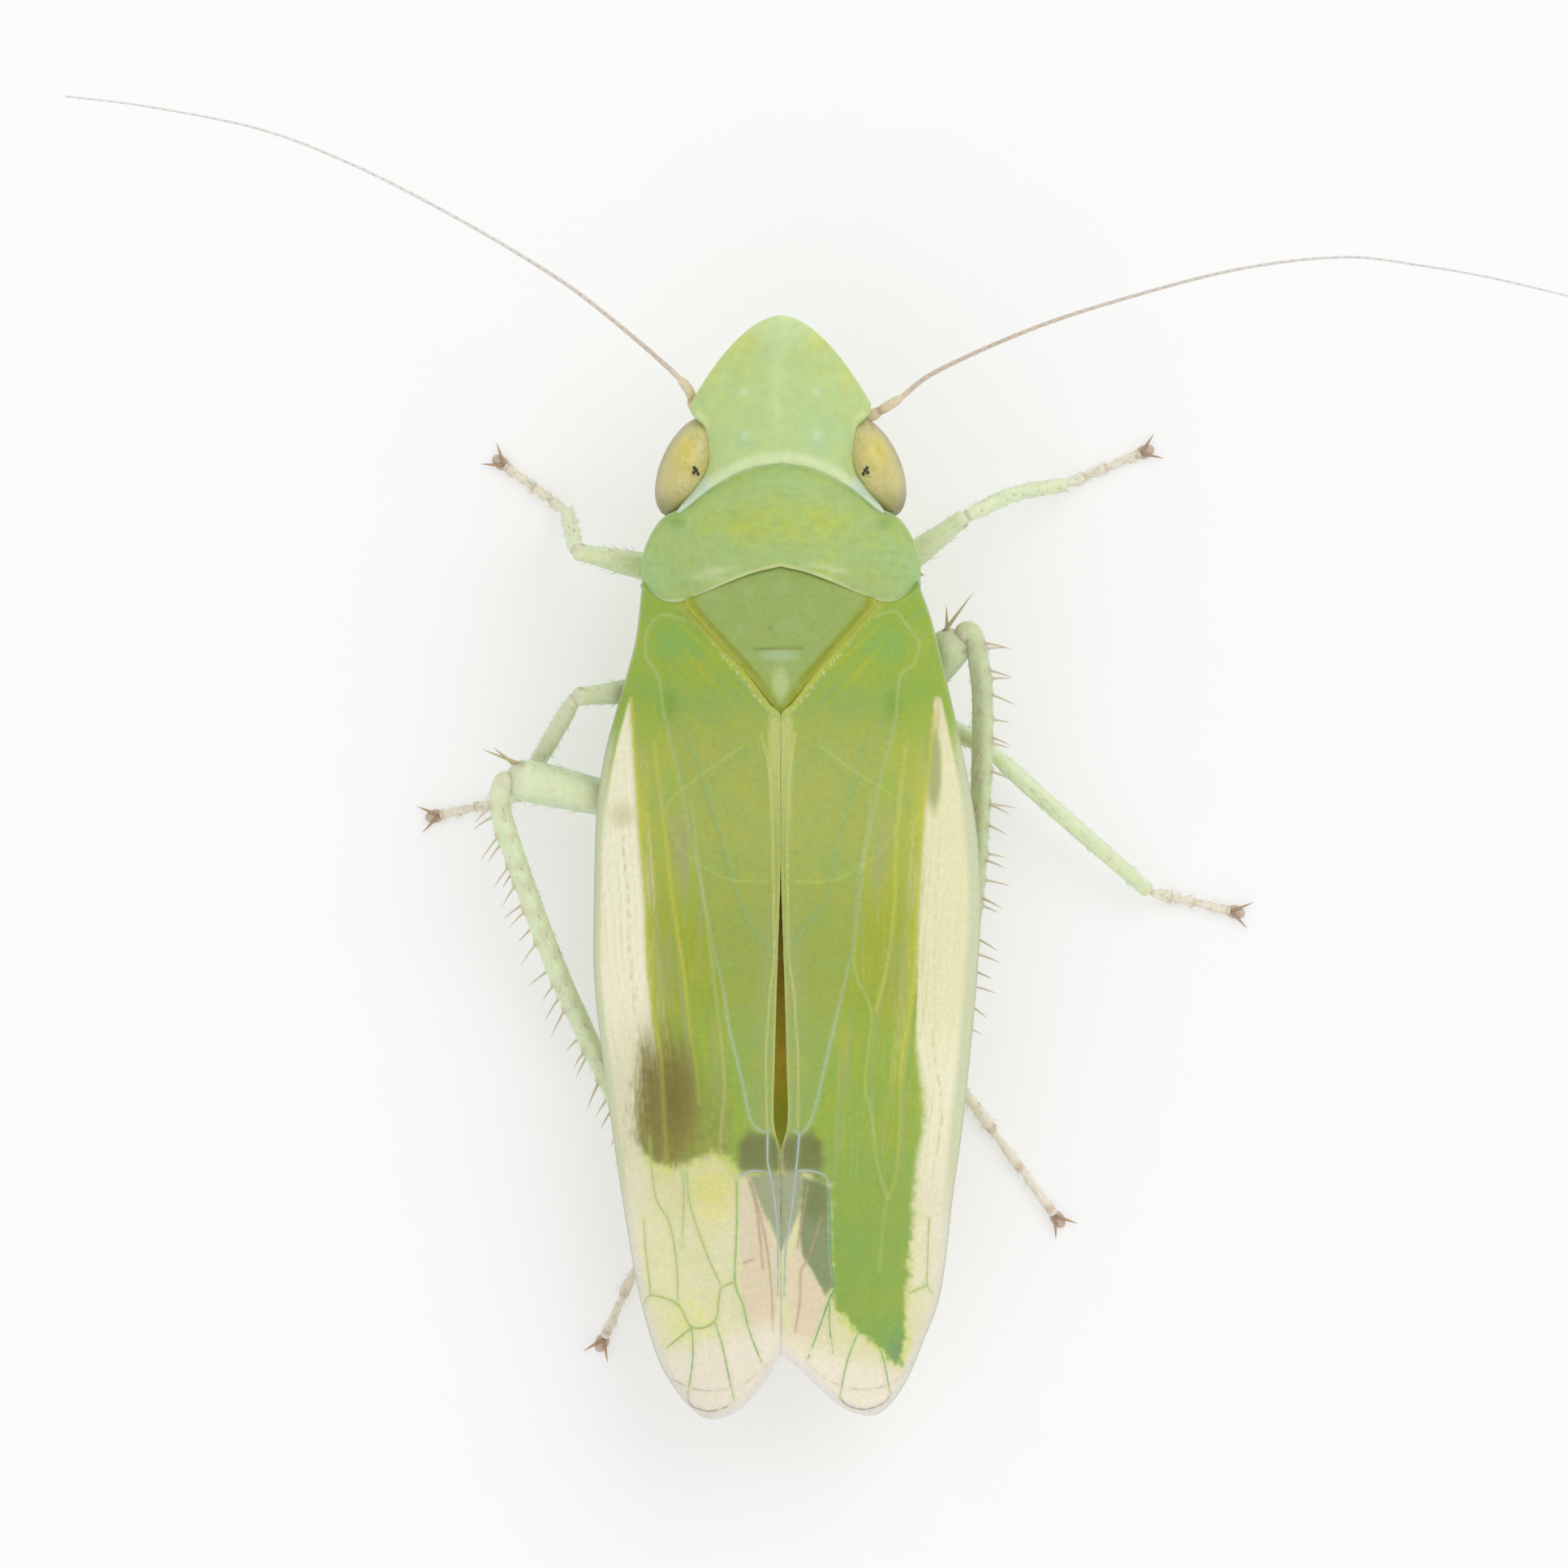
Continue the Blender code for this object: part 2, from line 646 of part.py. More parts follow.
def cover_floor(x, y):
    """The lowest lower face of the plates and wings that lie over a place of the trunk."""
    floors = [wing_floor(x, y) - WING_CLEARANCE]
    if y < -0.70:
        floors.append(pronotum_height(x, y) - PLATE_THICKNESS)
    if y > -1.0:
        floors.append(scutellum_height(x, y) - PLATE_THICKNESS)
    if y > -0.5:
        floors.append(wing_height(x, y) - HINDWING_DEPTH - HINDWING_THICKNESS - WING_CLEARANCE)
    return min(floors)


def make_thorax():
    """The trunk under the back plates and wing bases, which carries the legs.

    Its upper side follows the lower faces of what covers it, with the gap between.
    """
    half = profile((THORAX_FRONT, 0.36), (-1.1, 0.50), (-0.9, 0.565), (-0.5, 0.60), (-0.1, 0.60))
    low = profile((THORAX_FRONT, 0.50), (-1.1, 0.38), (-0.8, BELLY_HEIGHT), (-0.1, BELLY_HEIGHT + 0.02))
    high = profile((THORAX_FRONT, 1.20), (-1.0, 1.28), (-0.6, 1.26), (-0.1, 1.17))
    places = [THORAX_FRONT, -1.2, -1.1, -0.98, -0.84, -0.7, -0.58, -0.46, -0.34, -0.2, -0.1,
              ABDOMEN_FRONT - GAP]
    rings = []
    for y in places:
        ring = body_ring(y, half(y), high(y), low(y))
        for point in ring:
            point.z = min(point.z, cover_floor(point.x, y) - 1.5 * GAP)
        rings.append(ring)
    return loft("thorax", "cuticle_green", rings)


def make_abdomen():
    """Eight rings, each a little wider at its hind edge, and the blunt tip."""
    half = profile((0.02, 0.57), (0.6, 0.56), (1.1, 0.49), (1.5, 0.37), (1.8, 0.23), (2.02, 0.09))
    high = profile((0.02, 1.10), (0.6, 1.06), (1.1, 0.99), (1.5, 0.90), (1.8, 0.79), (2.02, 0.66))
    low = profile((0.02, 0.32), (0.8, 0.34), (1.4, 0.42), (2.02, 0.52))
    rings = []
    for ring in range(ABDOMEN_RINGS):
        for share, swell in ((0.0, 1.0), (0.3, 1.0), (0.88, 1.03), (0.96, 1.015)):
            y = ABDOMEN_FRONT + (ring + share) * (1.86 - ABDOMEN_FRONT) / ABDOMEN_RINGS
            middle, tall = (high(y) + low(y)) / 2, (high(y) - low(y)) / 2 * swell
            rings.append(body_ring(y, half(y) * swell, middle + tall, middle - tall, 16, 2.0))
    for y in (1.86, 1.94, ABDOMEN_TIP):
        rings.append(body_ring(y, half(y), high(y), low(y), 16, 2.0))
    return loft("abdomen", "abdomen_olive", rings)


# Each leg as the places of its joints. The shin lists the places between the knee and the ankle.
LEGS = {
    "front_left": {
        "hip": (0.27, -1.05, 0.47), "trochanter": (0.36, -0.86, 0.35), "knee": (0.985, -0.998, 0.76),
        "shin": [(1.008, -1.10, 0.46)], "ankle": (1.030, -1.188), "toe": (1.335, -1.418),
    },
    "front_right": {
        "hip": (-0.27, -1.05, 0.47), "trochanter": (-0.385, -0.785, 0.35), "knee": (-0.885, -1.163, 0.60),
        "shin": [(-1.122, -1.274, 0.37)], "ankle": (-1.376, -1.325), "toe": (-1.74, -1.475),
    },
    "middle_left": {
        "hip": (0.30, -0.50, 0.42), "trochanter": (0.38, -0.36, 0.34), "knee": (0.984, -0.298, 0.84),
        "shin": [(1.15, -0.02, 0.46)], "ankle": (1.272, 0.19), "toe": (1.65, 0.272),
    },
    "middle_right": {
        "hip": (-0.30, -0.50, 0.42), "trochanter": (-0.38, -0.34, 0.33), "knee": (-0.975, -0.07, 0.37),
        "shin": [(-1.33, 0.25, 0.27)], "ankle": (-1.785, 0.645), "toe": (-2.175, 0.735),
    },
    "hind_left": {
        "hip": (0.26, 0.00, 0.41), "trochanter": (0.37, 0.30, 0.34), "knee": (1.287, 0.088, 0.62),
        "shin": [(1.335, 0.125, 0.63), (1.350, 0.227, 0.585), (1.291, 0.435, 0.52), (1.102, 0.955, 0.38),
                 (0.901, 1.409, 0.27)],
        "ankle": (0.555, 2.14), "toe": (0.855, 2.80),
    },
    "hind_right": {
        "hip": (-0.26, -0.06, 0.41), "trochanter": (-0.38, -0.01, 0.34), "knee": (-0.850, -0.578, 0.72),
        "shin": [(-0.915, -0.605, 0.735), (-0.957, -0.44, 0.68), (-0.972, -0.214, 0.60),
                 (-0.959, 0.253, 0.47), (-0.924, 0.721, 0.34), (-0.857, 1.189, 0.21)],
        "ankle": (-0.791, 1.477), "toe": (-1.325, 2.205),
    },
}
FEMUR_RADII = {
    "front": profile((0, 0.050), (0.5, 0.070), (1, 0.048)),
    "middle": profile((0, 0.052), (0.5, 0.068), (1, 0.050)),
    "hind": profile((0, 0.070), (0.5, 0.096), (0.85, 0.115), (1, 0.108)),
}
TIBIA_RADII = {
    "front": profile((0, 0.034), (0.15, 0.038), (0.8, 0.036), (1, 0.034)),
    "middle": profile((0, 0.038), (0.15, 0.043), (0.8, 0.039), (1, 0.036)),
    "hind": profile((0, 0.056), (0.12, 0.052), (0.8, 0.048), (1, 0.042)),
}
FEMUR_RISE = {"middle_right": -0.03, "hind_left": 0.0}
PLAIN_RISE = 0.04
TARSUS_JOINTS = {"front": (0.30, 0.58), "middle": (0.30, 0.58), "hind": (0.45, 0.70)}
PAD_RADII = (0.036, 0.044, 0.022)
SPINE_LEAN = {"hind_left": (0.25, 0.65), "hind_right": (0.05, 0.35)}
ROW_LIFTS = (0.45, -0.35)
# The thorns at the end of each hind femur, as root and tip
KNEE_THORNS = {
    "hind_left": [((1.28, 0.015, 0.645), (1.438, -0.047, 0.70)), ((1.29, 0.02, 0.60), (1.39, -0.06, 0.57))],
    "hind_right": [((-0.815, -0.650, 0.75), (-0.928, -0.803, 0.80)),
                   ((-0.800, -0.635, 0.70), (-0.797, -0.742, 0.69))],
}


def bowed(start, end, rise):
    """A route from start to end that bows upwards in its middle."""
    middle = (start + end) / 2 + Vector((0, 0, rise))
    return curve_through([start, middle, end], 3)


def spine(root, way, length, radius):
    """A thin four-sided thorn whose root starts inside its carrier."""
    way = way.normalized()
    across = way.orthogonal().normalized()
    up = way.cross(across)
    built = bmesh.new()
    base = [built.verts.new(root + radius * (math.cos(a) * across + math.sin(a) * up))
            for a in (0, math.pi / 2, math.pi, 1.5 * math.pi)]
    tip = built.verts.new(root + way * length)
    built.faces.new(reversed(base))
    for i in range(4):
        built.faces.new((base[i], base[(i + 1) % 4], tip))
    return as_object(built, "thorn", "leg_green")


def tibia_spines(name, route, draw):
    """Two rows of thorns along the outer side of the hind shin."""
    side = 1 if name.endswith("left") else -1
    fine = evenly(route, 0.02)
    made = []
    for row, lift in enumerate(ROW_LIFTS):
        for k in range(SPINES_IN_ROW):
            share = 0.07 + 0.86 * (k + 0.5 * row) / SPINES_IN_ROW
            i = int(share * (len(fine) - 1))
            along = (fine[i + 1] - fine[i]).normalized()
            outwards = Vector((side, 0, 0))
            outwards = (outwards - along * outwards.dot(along)).normalized()
            up = Vector((0, 0, 1))
            up = (up - along * up.dot(along)).normalized()
            way = outwards + up * lift + along * draw.uniform(*SPINE_LEAN[name])
            length = SPINE_LENGTH * draw.uniform(0.85, 1.25)
            made.append(spine(fine[i] + outwards * 0.015, way, length + 0.03, SPINE_RADIUS))
    return made


def knee_thorns(name):
    made = []
    for root, tip in KNEE_THORNS[name]:
        way = Vector(tip) - Vector(root)
        made.append(spine(Vector(root), way, way.length, THORN_RADIUS))
    return made


def make_leg(name, draw):
    """One leg as four nodes: coxa, femur, tibia and tarsus."""
    pair = name.split("_")[0]
    leg = LEGS[name]
    hip, trochanter, knee = (Vector(leg[place]) for place in ("hip", "trochanter", "knee"))
    ankle = Vector((*leg["ankle"], ANKLE_HEIGHT))
    toe = Vector((*leg["toe"], FOOT_RADIUS))
    coxa = tube(f"coxa_{name}", "leg_green", curve_through([hip, trochanter], 3),
                profile((0, 0.115), (0.6, 0.095), (1, 0.062)), 12)
    femur = tube(f"femur_{name}", "leg_green", bowed(trochanter, knee, FEMUR_RISE.get(name, PLAIN_RISE)),
                 FEMUR_RADII[pair], 14 if pair == "hind" else 12)
    shin = evenly(curve_through([knee, *leg["shin"], ankle], 6), 0.16)
    tibia = tube(f"tibia_{name}", "leg_green", shin, TIBIA_RADII[pair], 10)
    if pair == "hind":
        fuse(tibia, tibia_spines(name, shin, draw))
        fuse(femur, knee_thorns(name))
    return coxa, femur, tibia, make_tarsus(name, ankle, toe)


def make_pad(toe, turn):
    """The soft pad under the claws, which reaches just through the floor until it is cut level."""
    built = bmesh.new()
    bmesh.ops.create_uvsphere(built, u_segments=10, v_segments=6, radius=1.0)
    for v in built.verts:
        v.co = turn @ Vector(c * r for c, r in zip(v.co, PAD_RADII))
        v.co += Vector((toe.x, toe.y, PAD_RADII[2] * 0.8))
    return as_object(built, "pad", "foot_brown")


def make_tarsus(name, ankle, toe):
    """Three joints, each widest at its end, a pad with a flat sole on the floor, and two claws."""
    first, second = TARSUS_JOINTS[name.split("_")[0]]
    flat_way = Vector((toe.x - ankle.x, toe.y - ankle.y, 0))
    heel = ankle + 0.28 * flat_way
    heel.z = 0.045
    route = curve_through([ankle, heel, toe + Vector((0, 0, 0.010))], 5)
    joints = profile((0, 0.021), (first - 0.05, 0.027), (first + 0.02, 0.019), (second - 0.05, 0.025),
                     (second + 0.02, 0.018), (0.9, 0.022), (1, 0.025))
    tarsus = tube(f"tarsus_{name}", "foot_brown", evenly(route, 0.035), joints, 8)
    flat_way.normalize()
    turn = Matrix((-flat_way.cross(Vector((0, 0, 1))), flat_way, (0, 0, 1))).transposed()
    claws = []
    for spread in (-CLAW_SPREAD, CLAW_SPREAD):
        way = Matrix.Rotation(spread, 3, "Z") @ flat_way
        root = toe + Vector((0, 0, 0.010))
        claws.append(spine(root, way + Vector((0, 0, -0.10)), CLAW_LENGTH, 0.012))
    fuse(tarsus, [make_pad(toe + flat_way * 0.02, turn), *claws])
    level_sole(tarsus)
    return tarsus


def level_sole(piece):
    """Cuts a foot off level at the floor, which leaves small flats to stand on."""
    built = bmesh.new()
    built.from_mesh(piece.data)
    cut = bmesh.ops.bisect_plane(built, geom=[*built.verts, *built.edges, *built.faces], dist=1e-6,
                                 plane_co=(0, 0, 0), plane_no=(0, 0, -1), clear_outer=True)
    rim = [part for part in cut["geom_cut"] if isinstance(part, bmesh.types.BMEdge)]
    bmesh.ops.holes_fill(built, edges=rim)
    bmesh.ops.triangulate(built, faces=built.faces)
    bmesh.ops.recalc_face_normals(built, faces=built.faces)
    built.to_mesh(piece.data)
    built.free()


def set_to_metres(pieces):
    """Brings the finished meshes from millimetres to metres and hangs them on one empty."""
    root = bpy.data.objects.new("leafhopper", None)
    bpy.context.scene.collection.objects.link(root)
    for piece in pieces:
        piece.data.transform(Matrix.Scale(MM, 4))
        piece.data.update()
        piece.data.shade_smooth()
        piece.data.set_sharp_from_angle(angle=math.radians(40))
        piece.parent = root


def main():
    clear_scene()
    draw = random.Random(SEED)
    pronotum = make_pronotum()
    scutellum = make_scutellum()
    forewings = [make_forewing(side) for side in (1, -1)]
    hindwings = [make_hindwing(side) for side in (1, -1)]
    covers = [pronotum, scutellum, *forewings, *hindwings]
    thorax = make_thorax()
    abdomen = make_abdomen()
    head = cut_clear(make_head(), [pronotum, thorax])
    eyes = [cut_clear(make_eye(side), [head, pronotum, thorax]) for side in (1, -1)]
    rostrum = cut_clear(make_rostrum(), [head, thorax])
    antennae = [cut_clear(make_antenna(side), [head, eye]) for side, eye in zip((1, -1), eyes)]
    legs = []
    for name in LEGS:
        coxa, femur, tibia, tarsus = make_leg(name, draw)
        cut_clear(coxa, [thorax, abdomen, head, rostrum])
        cut_clear(femur, [coxa, thorax, abdomen])
        cut_clear(tibia, [femur])
        cut_clear(tarsus, [tibia])
        legs += [coxa, femur, tibia, tarsus]
    set_to_metres([*covers, thorax, abdomen, head, *eyes, rostrum, *antennae, *legs])


main()
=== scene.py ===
"""The looks of a life-size pale green leafhopper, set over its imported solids.

Sizes are in millimetres until a finished piece is set to metres. The head points to -Y, the
animal's left side is +X and up is +Z. A wing's places are given as ways out from the midline.
"""
import math
import random

import bmesh
import bpy
import numpy as np
from mathutils import Matrix, Vector, noise


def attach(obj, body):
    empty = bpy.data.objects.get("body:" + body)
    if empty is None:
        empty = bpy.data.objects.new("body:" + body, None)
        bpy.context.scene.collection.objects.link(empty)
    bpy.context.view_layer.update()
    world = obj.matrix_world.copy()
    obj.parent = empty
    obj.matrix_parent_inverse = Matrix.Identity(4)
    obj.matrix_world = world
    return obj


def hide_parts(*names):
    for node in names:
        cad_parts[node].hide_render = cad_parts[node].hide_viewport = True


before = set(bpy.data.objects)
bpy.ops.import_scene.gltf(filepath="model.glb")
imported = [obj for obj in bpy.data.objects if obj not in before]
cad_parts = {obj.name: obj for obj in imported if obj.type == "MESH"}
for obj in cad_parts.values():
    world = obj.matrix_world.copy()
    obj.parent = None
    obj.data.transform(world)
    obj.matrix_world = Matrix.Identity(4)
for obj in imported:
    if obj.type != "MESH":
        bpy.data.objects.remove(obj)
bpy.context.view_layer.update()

MM = 0.001
SEED = 11
NOISE_STEP = 17.3

# The picture's frame
VIEW_CENTRE = (-0.016, 0.121)
VIEW_WIDTH = 7.529
VIEW_HEIGHT = 0.9
CAMERA_DISTANCE = 160.0
SENSOR = 36.0

# Colours as a painter mixes them, red, green and blue from 0 to 255
TONES = {
    "head": (190, 213, 142), "head_front": (208, 225, 168), "head_warm": (196, 212, 128),
    "head_blue": (176, 210, 160), "head_band": (214, 230, 176), "head_gold": (212, 214, 116),
    "frost_blue": (204, 226, 190), "eye_rim": (214, 226, 166), "neck_pale": (204, 224, 192),
    "face": (196, 212, 140), "suture": (150, 166, 90), "collar": (174, 198, 124),
    "collar_blue": (166, 202, 136), "collar_gold": (190, 200, 78), "collar_hind": (171, 191, 118),
    "rim": (218, 222, 164), "painted_sheen": (214, 222, 178), "shield": (158, 179, 101),
    "shield_light": (166, 188, 116), "groove": (152, 160, 28), "shield_blue": (174, 198, 152),
    "shield_tip": (188, 202, 138), "shield_line": (134, 138, 60), "leaf_base": (146, 178, 66),
    "leaf_bright": (175, 188, 84), "leaf_deep": (154, 168, 44), "leaf_cool": (138, 182, 92),
    "leaf_gold": (188, 188, 52), "leaf_grey": (160, 172, 104), "leaf_mauve": (168, 172, 122),
    "leaf_dark": (116, 160, 44), "glint": (234, 238, 204), "thorn_brown": (176, 160, 128),
    "leg_shade_deep": (180, 194, 138), "leg_shade_grey": (178, 178, 152), "leaf_end": (150, 178, 74),
    "leaf_teal": (122, 172, 92), "ash_teal": (128, 152, 112), "leaf_dusk": (128, 164, 96),
    "clavus": (164, 178, 114), "cream": (252, 247, 216), "cream_warm": (226, 220, 172),
    "cream_streak": (214, 208, 160), "cream_dull": (214, 210, 178), "tan": (186, 170, 116),
    "margin": (204, 212, 176), "margin_grey": (190, 192, 170), "seam": (210, 212, 136),
    "blotch": (124, 112, 54), "blotch_soft": (150, 140, 70), "ash": (122, 126, 78),
    "wedge": (158, 166, 132), "moss": (126, 135, 82), "moss_soft": (142, 154, 110),
    "apex": (229, 224, 172), "apex_gold": (230, 222, 124), "apex_bright": (222, 226, 116),
    "apex_lime": (220, 222, 146), "apex_dull": (215, 211, 176), "window": (230, 213, 184),
    "fold": (196, 172, 138), "clear": (234, 226, 211), "tip": (240, 230, 211),
    "tip_edge": (228, 222, 214), "vein_green": (178, 212, 128), "crease": (212, 194, 164),
    "vein_lime": (200, 216, 126), "vein_teal": (132, 178, 126), "vein_gold": (200, 198, 84),
    "vein_pale": (182, 194, 120), "vein_ice": (192, 208, 192), "vein_grey": (184, 176, 160),
    "olive": (228, 208, 40), "olive_deep": (212, 186, 34), "olive_green": (172, 190, 60),
    "belly": (206, 214, 150), "belly_fold": (168, 184, 112), "film": (232, 222, 202),
    "eye": (212, 203, 132), "eye_pale": (222, 216, 156), "eye_gold": (222, 208, 100),
    "eye_sand": (192, 180, 138), "eye_dusk": (134, 132, 76), "eye_dot": (84, 84, 40),
    "eye_spot": (40, 42, 22), "beige": (226, 208, 180), "beige_deep": (176, 150, 124),
    "whip": (206, 190, 178), "whip_end": (226, 223, 220), "leg": (224, 233, 196),
    "leg_blue": (200, 224, 194), "leg_warm": (230, 230, 188), "knee": (214, 202, 176),
    "condyle": (120, 98, 74), "foot": (234, 226, 212), "foot_deep": (196, 170, 150),
    "claw": (168, 138, 118), "pad": (196, 178, 164), "spine": (204, 188, 166),
    "spine_base": (196, 178, 150), "hair": (232, 230, 206),
}


def linear(tone):
    """A painter's colour as the light that it gives back."""
    share = np.array(TONES[tone]) / 255
    return np.where(share <= 0.04045, share / 12.92, ((share + 0.055) / 1.055) ** 2.4)


def smooth(value, low, high):
    """0 up to low, 1 from high on, and an even rise between, also with low above high."""
    t = np.clip((np.asarray(value, float) - low) / (high - low), 0.0, 1.0)
    return t * t * (3 - 2 * t)


def profile(*knots):
    """A smooth function through (place, value) knots, held level past its two ends."""
    places, values = (np.array(column, float) for column in zip(*knots))
    last = len(places) - 1
    before, after = np.maximum(np.arange(last + 1) - 1, 0), np.minimum(np.arange(last + 1) + 1, last)
    slopes = (values[after] - values[before]) / (places[after] - places[before])

    def at(place):
        place = np.clip(place, places[0], places[-1])
        i = np.clip(np.searchsorted(places, place, side="right") - 1, 0, last - 1)
        span = places[i + 1] - places[i]
        t = (place - places[i]) / span
        start = (2 * t**3 - 3 * t**2 + 1) * values[i] + (t**3 - 2 * t**2 + t) * span * slopes[i]
        end = (3 * t**2 - 2 * t**3) * values[i + 1] + (t**3 - t**2) * span * slopes[i + 1]
        return start + end

    return at


def curve_through(points, steps):
    """Points of one smooth curve through the given points, with steps on each stretch."""
    points = np.array(points, float)
    padded = np.vstack([2 * points[0] - points[1], points, 2 * points[-1] - points[-2]])
    t = np.arange(steps)[:, None] / steps
    route = [0.5 * (2 * b + (c - a) * t + (2 * a - 5 * b + 4 * c - d) * t**2 + (3 * b - a - 3 * c + d) * t**3)
             for a, b, c, d in zip(padded, padded[1:], padded[2:], padded[3:])]
    return np.vstack([*route, points[-1:]])


def evenly(points, count):
    """The same route as count points that stand evenly along it."""
    steps = np.linalg.norm(np.diff(points, axis=0), axis=1)
    lengths = np.concatenate([[0.0], np.cumsum(steps)])
    places = np.linspace(0, lengths[-1], count)
    return np.column_stack([np.interp(places, lengths, column) for column in points.T])


def reach(plan, route):
    """The distance from each plan point to a route."""
    best = np.full(len(plan), 9.0)
    for a, b in zip(route, route[1:]):
        way = b - a
        t = np.clip((plan - a) @ way / max(way @ way, 1e-12), 0, 1)
        best = np.minimum(best, np.linalg.norm(plan - a - t[:, None] * way, axis=1))
    return best


def inside(plan, outline, soft, ragged=0.0):
    """1 inside a closed outline and 0 outside, softened, and torn by the ragged amounts."""
    ring = np.array([*outline, outline[0]], float)
    within = np.zeros(len(plan), bool)
    for a, b in zip(ring, ring[1:]):
        crosses = (a[1] > plan[:, 1]) != (b[1] > plan[:, 1])
        rise = b[1] - a[1] if b[1] != a[1] else 1e-9
        within ^= crosses & (plan[:, 0] < (b[0] - a[0]) * (plan[:, 1] - a[1]) / rise + a[0])
    depth = reach(plan, ring)
    return smooth(np.where(within, depth, -depth) + ragged, -soft, soft)


def oval(plan, centre, radii, soft=0.5):
    """1 in the middle of an oval and 0 past its edge. soft is the share that fades."""
    away = np.linalg.norm((plan - np.array(centre)) / np.array(radii), axis=1)
    return smooth(away, 1.0, 1.0 - soft)


def grain(points, size, seed):
    """Even noise from about -1 to 1 with features about size across."""
    stretched = np.asarray(points) / np.asarray(size) + seed * NOISE_STEP
    if stretched.shape[1] == 2:
        stretched = np.column_stack([stretched, np.zeros(len(stretched))])
    return np.array([noise.noise(Vector(place)) for place in stretched])


def cloud(points, size, seed):
    """The bright half of the grain, from 0 to 1."""
    return np.clip(grain(points, size, seed), 0, 1)


def bell(away, width):
    """1 at no distance, falling off evenly past the width."""
    return np.exp(-(away / width) ** 2)


def lay(coat, tone, mask):
    """Paints a tone over a coat where the mask says."""
    mask = np.clip(mask, 0, 1)[:, None]
    coat[:] = coat * (1 - mask) + linear(tone) * mask


def lay_ovals(coat, plan, marks):
    """Lays soft oval marks: tone, middle, radii, the share that fades and the strength."""
    for tone, centre, radii, soft, strength in marks:
        lay(coat, tone, oval(plan, centre, radii, soft) * strength)


def first_coat(count, tone):
    return np.tile(linear(tone), (count, 1))


def apply(piece, modifier):
    bpy.context.view_layer.objects.active = piece
    bpy.ops.object.modifier_apply(modifier=modifier.name)


def fresh(add, name, **sizes):
    """Adds one primitive with nothing else selected."""
    bpy.ops.object.select_all(action="DESELECT")
    add(**sizes)
    piece = bpy.context.object
    piece.name = name
    piece.data.name = name
    return piece


def points_of(piece):
    flat = np.empty(len(piece.data.vertices) * 3, np.float32)
    piece.data.vertices.foreach_get("co", flat)
    return flat.reshape(-1, 3).astype(float)


def move_points(piece, points):
    piece.data.vertices.foreach_set("co", np.asarray(points, np.float32).ravel())
    piece.data.update()


def select_edges(piece, wanted):
    """Opens a piece in edit mode with the edges selected whose two ends pass a test."""
    bpy.ops.object.mode_set(mode="EDIT")
    bpy.ops.mesh.select_mode(type="EDGE")
    bpy.ops.mesh.select_all(action="DESELECT")
    opened = bmesh.from_edit_mesh(piece.data)
    for edge in opened.edges:
        edge.select_set(wanted(*(v.co for v in edge.verts)))
    bmesh.update_edit_mesh(piece.data)


def turn_outwards(piece):
    """Makes a closed piece's faces all point out."""
    bpy.ops.object.mode_set(mode="EDIT")
    bpy.ops.mesh.select_all(action="SELECT")
    bpy.ops.mesh.normals_make_consistent(inside=False)
    bpy.ops.object.mode_set(mode="OBJECT")


def round_form(name, sides, cuts, ring, dense=0.0):
    """A closed form of rings, closer at its ends where dense is above 0.

    ring(share, angle) places them from one end to the other.
    """
    piece = fresh(bpy.ops.mesh.primitive_cylinder_add, name, vertices=sides, radius=1, depth=1,
                  end_fill_type="TRIFAN")
    for number in cuts:
        select_edges(piece, lambda a, b: abs(a.z - b.z) > 1e-5)
        bpy.ops.mesh.subdivide(number_cuts=number)
        bpy.ops.object.mode_set(mode="OBJECT")
    points = points_of(piece)
    share, angle = points[:, 2] + 0.5, np.arctan2(points[:, 1], points[:, 0])
    share = share - dense * np.sin(2 * np.pi * share) / (2 * np.pi)
    poles = np.hypot(points[:, 0], points[:, 1]) < 0.5
    placed = ring(share, angle)
    for pole in np.flatnonzero(poles):
        same = (np.abs(share - share[pole]) < 1e-4) & ~poles
        placed[pole] = placed[same].mean(axis=0)
    move_points(piece, placed)
    turn_outwards(piece)
    return piece, share, angle


def blanket(name, columns, rows, place, depth):
    """A thin plate. place(across, along) gives its upper face, both shares from 0 to 1."""
    piece = fresh(bpy.ops.mesh.primitive_grid_add, name, x_subdivisions=columns, y_subdivisions=rows, size=1)
    shares = points_of(piece)[:, :2] + 0.5
    move_points(piece, place(shares[:, 0], shares[:, 1]))
    bpy.ops.object.mode_set(mode="EDIT")
    bpy.ops.mesh.select_all(action="SELECT")
    if sum(face.normal.z for face in bmesh.from_edit_mesh(piece.data).faces) < 0:
        bpy.ops.mesh.flip_normals()
    bpy.ops.object.mode_set(mode="OBJECT")
    solid = piece.modifiers.new("depth", "SOLIDIFY")
    solid.thickness = depth
    solid.offset = -1
    apply(piece, solid)
    return piece


def frames_along(route):
    """The way along a route, sideways and upwards at each of its points."""
    along = np.gradient(route, axis=0)
    along /= np.linalg.norm(along, axis=1)[:, None]
    across = np.cross(along, (0.0, 0.0, 1.0))
    across /= np.linalg.norm(across, axis=1)[:, None]
    return along, across, np.cross(across, along)


ROUTE_POINTS = 200


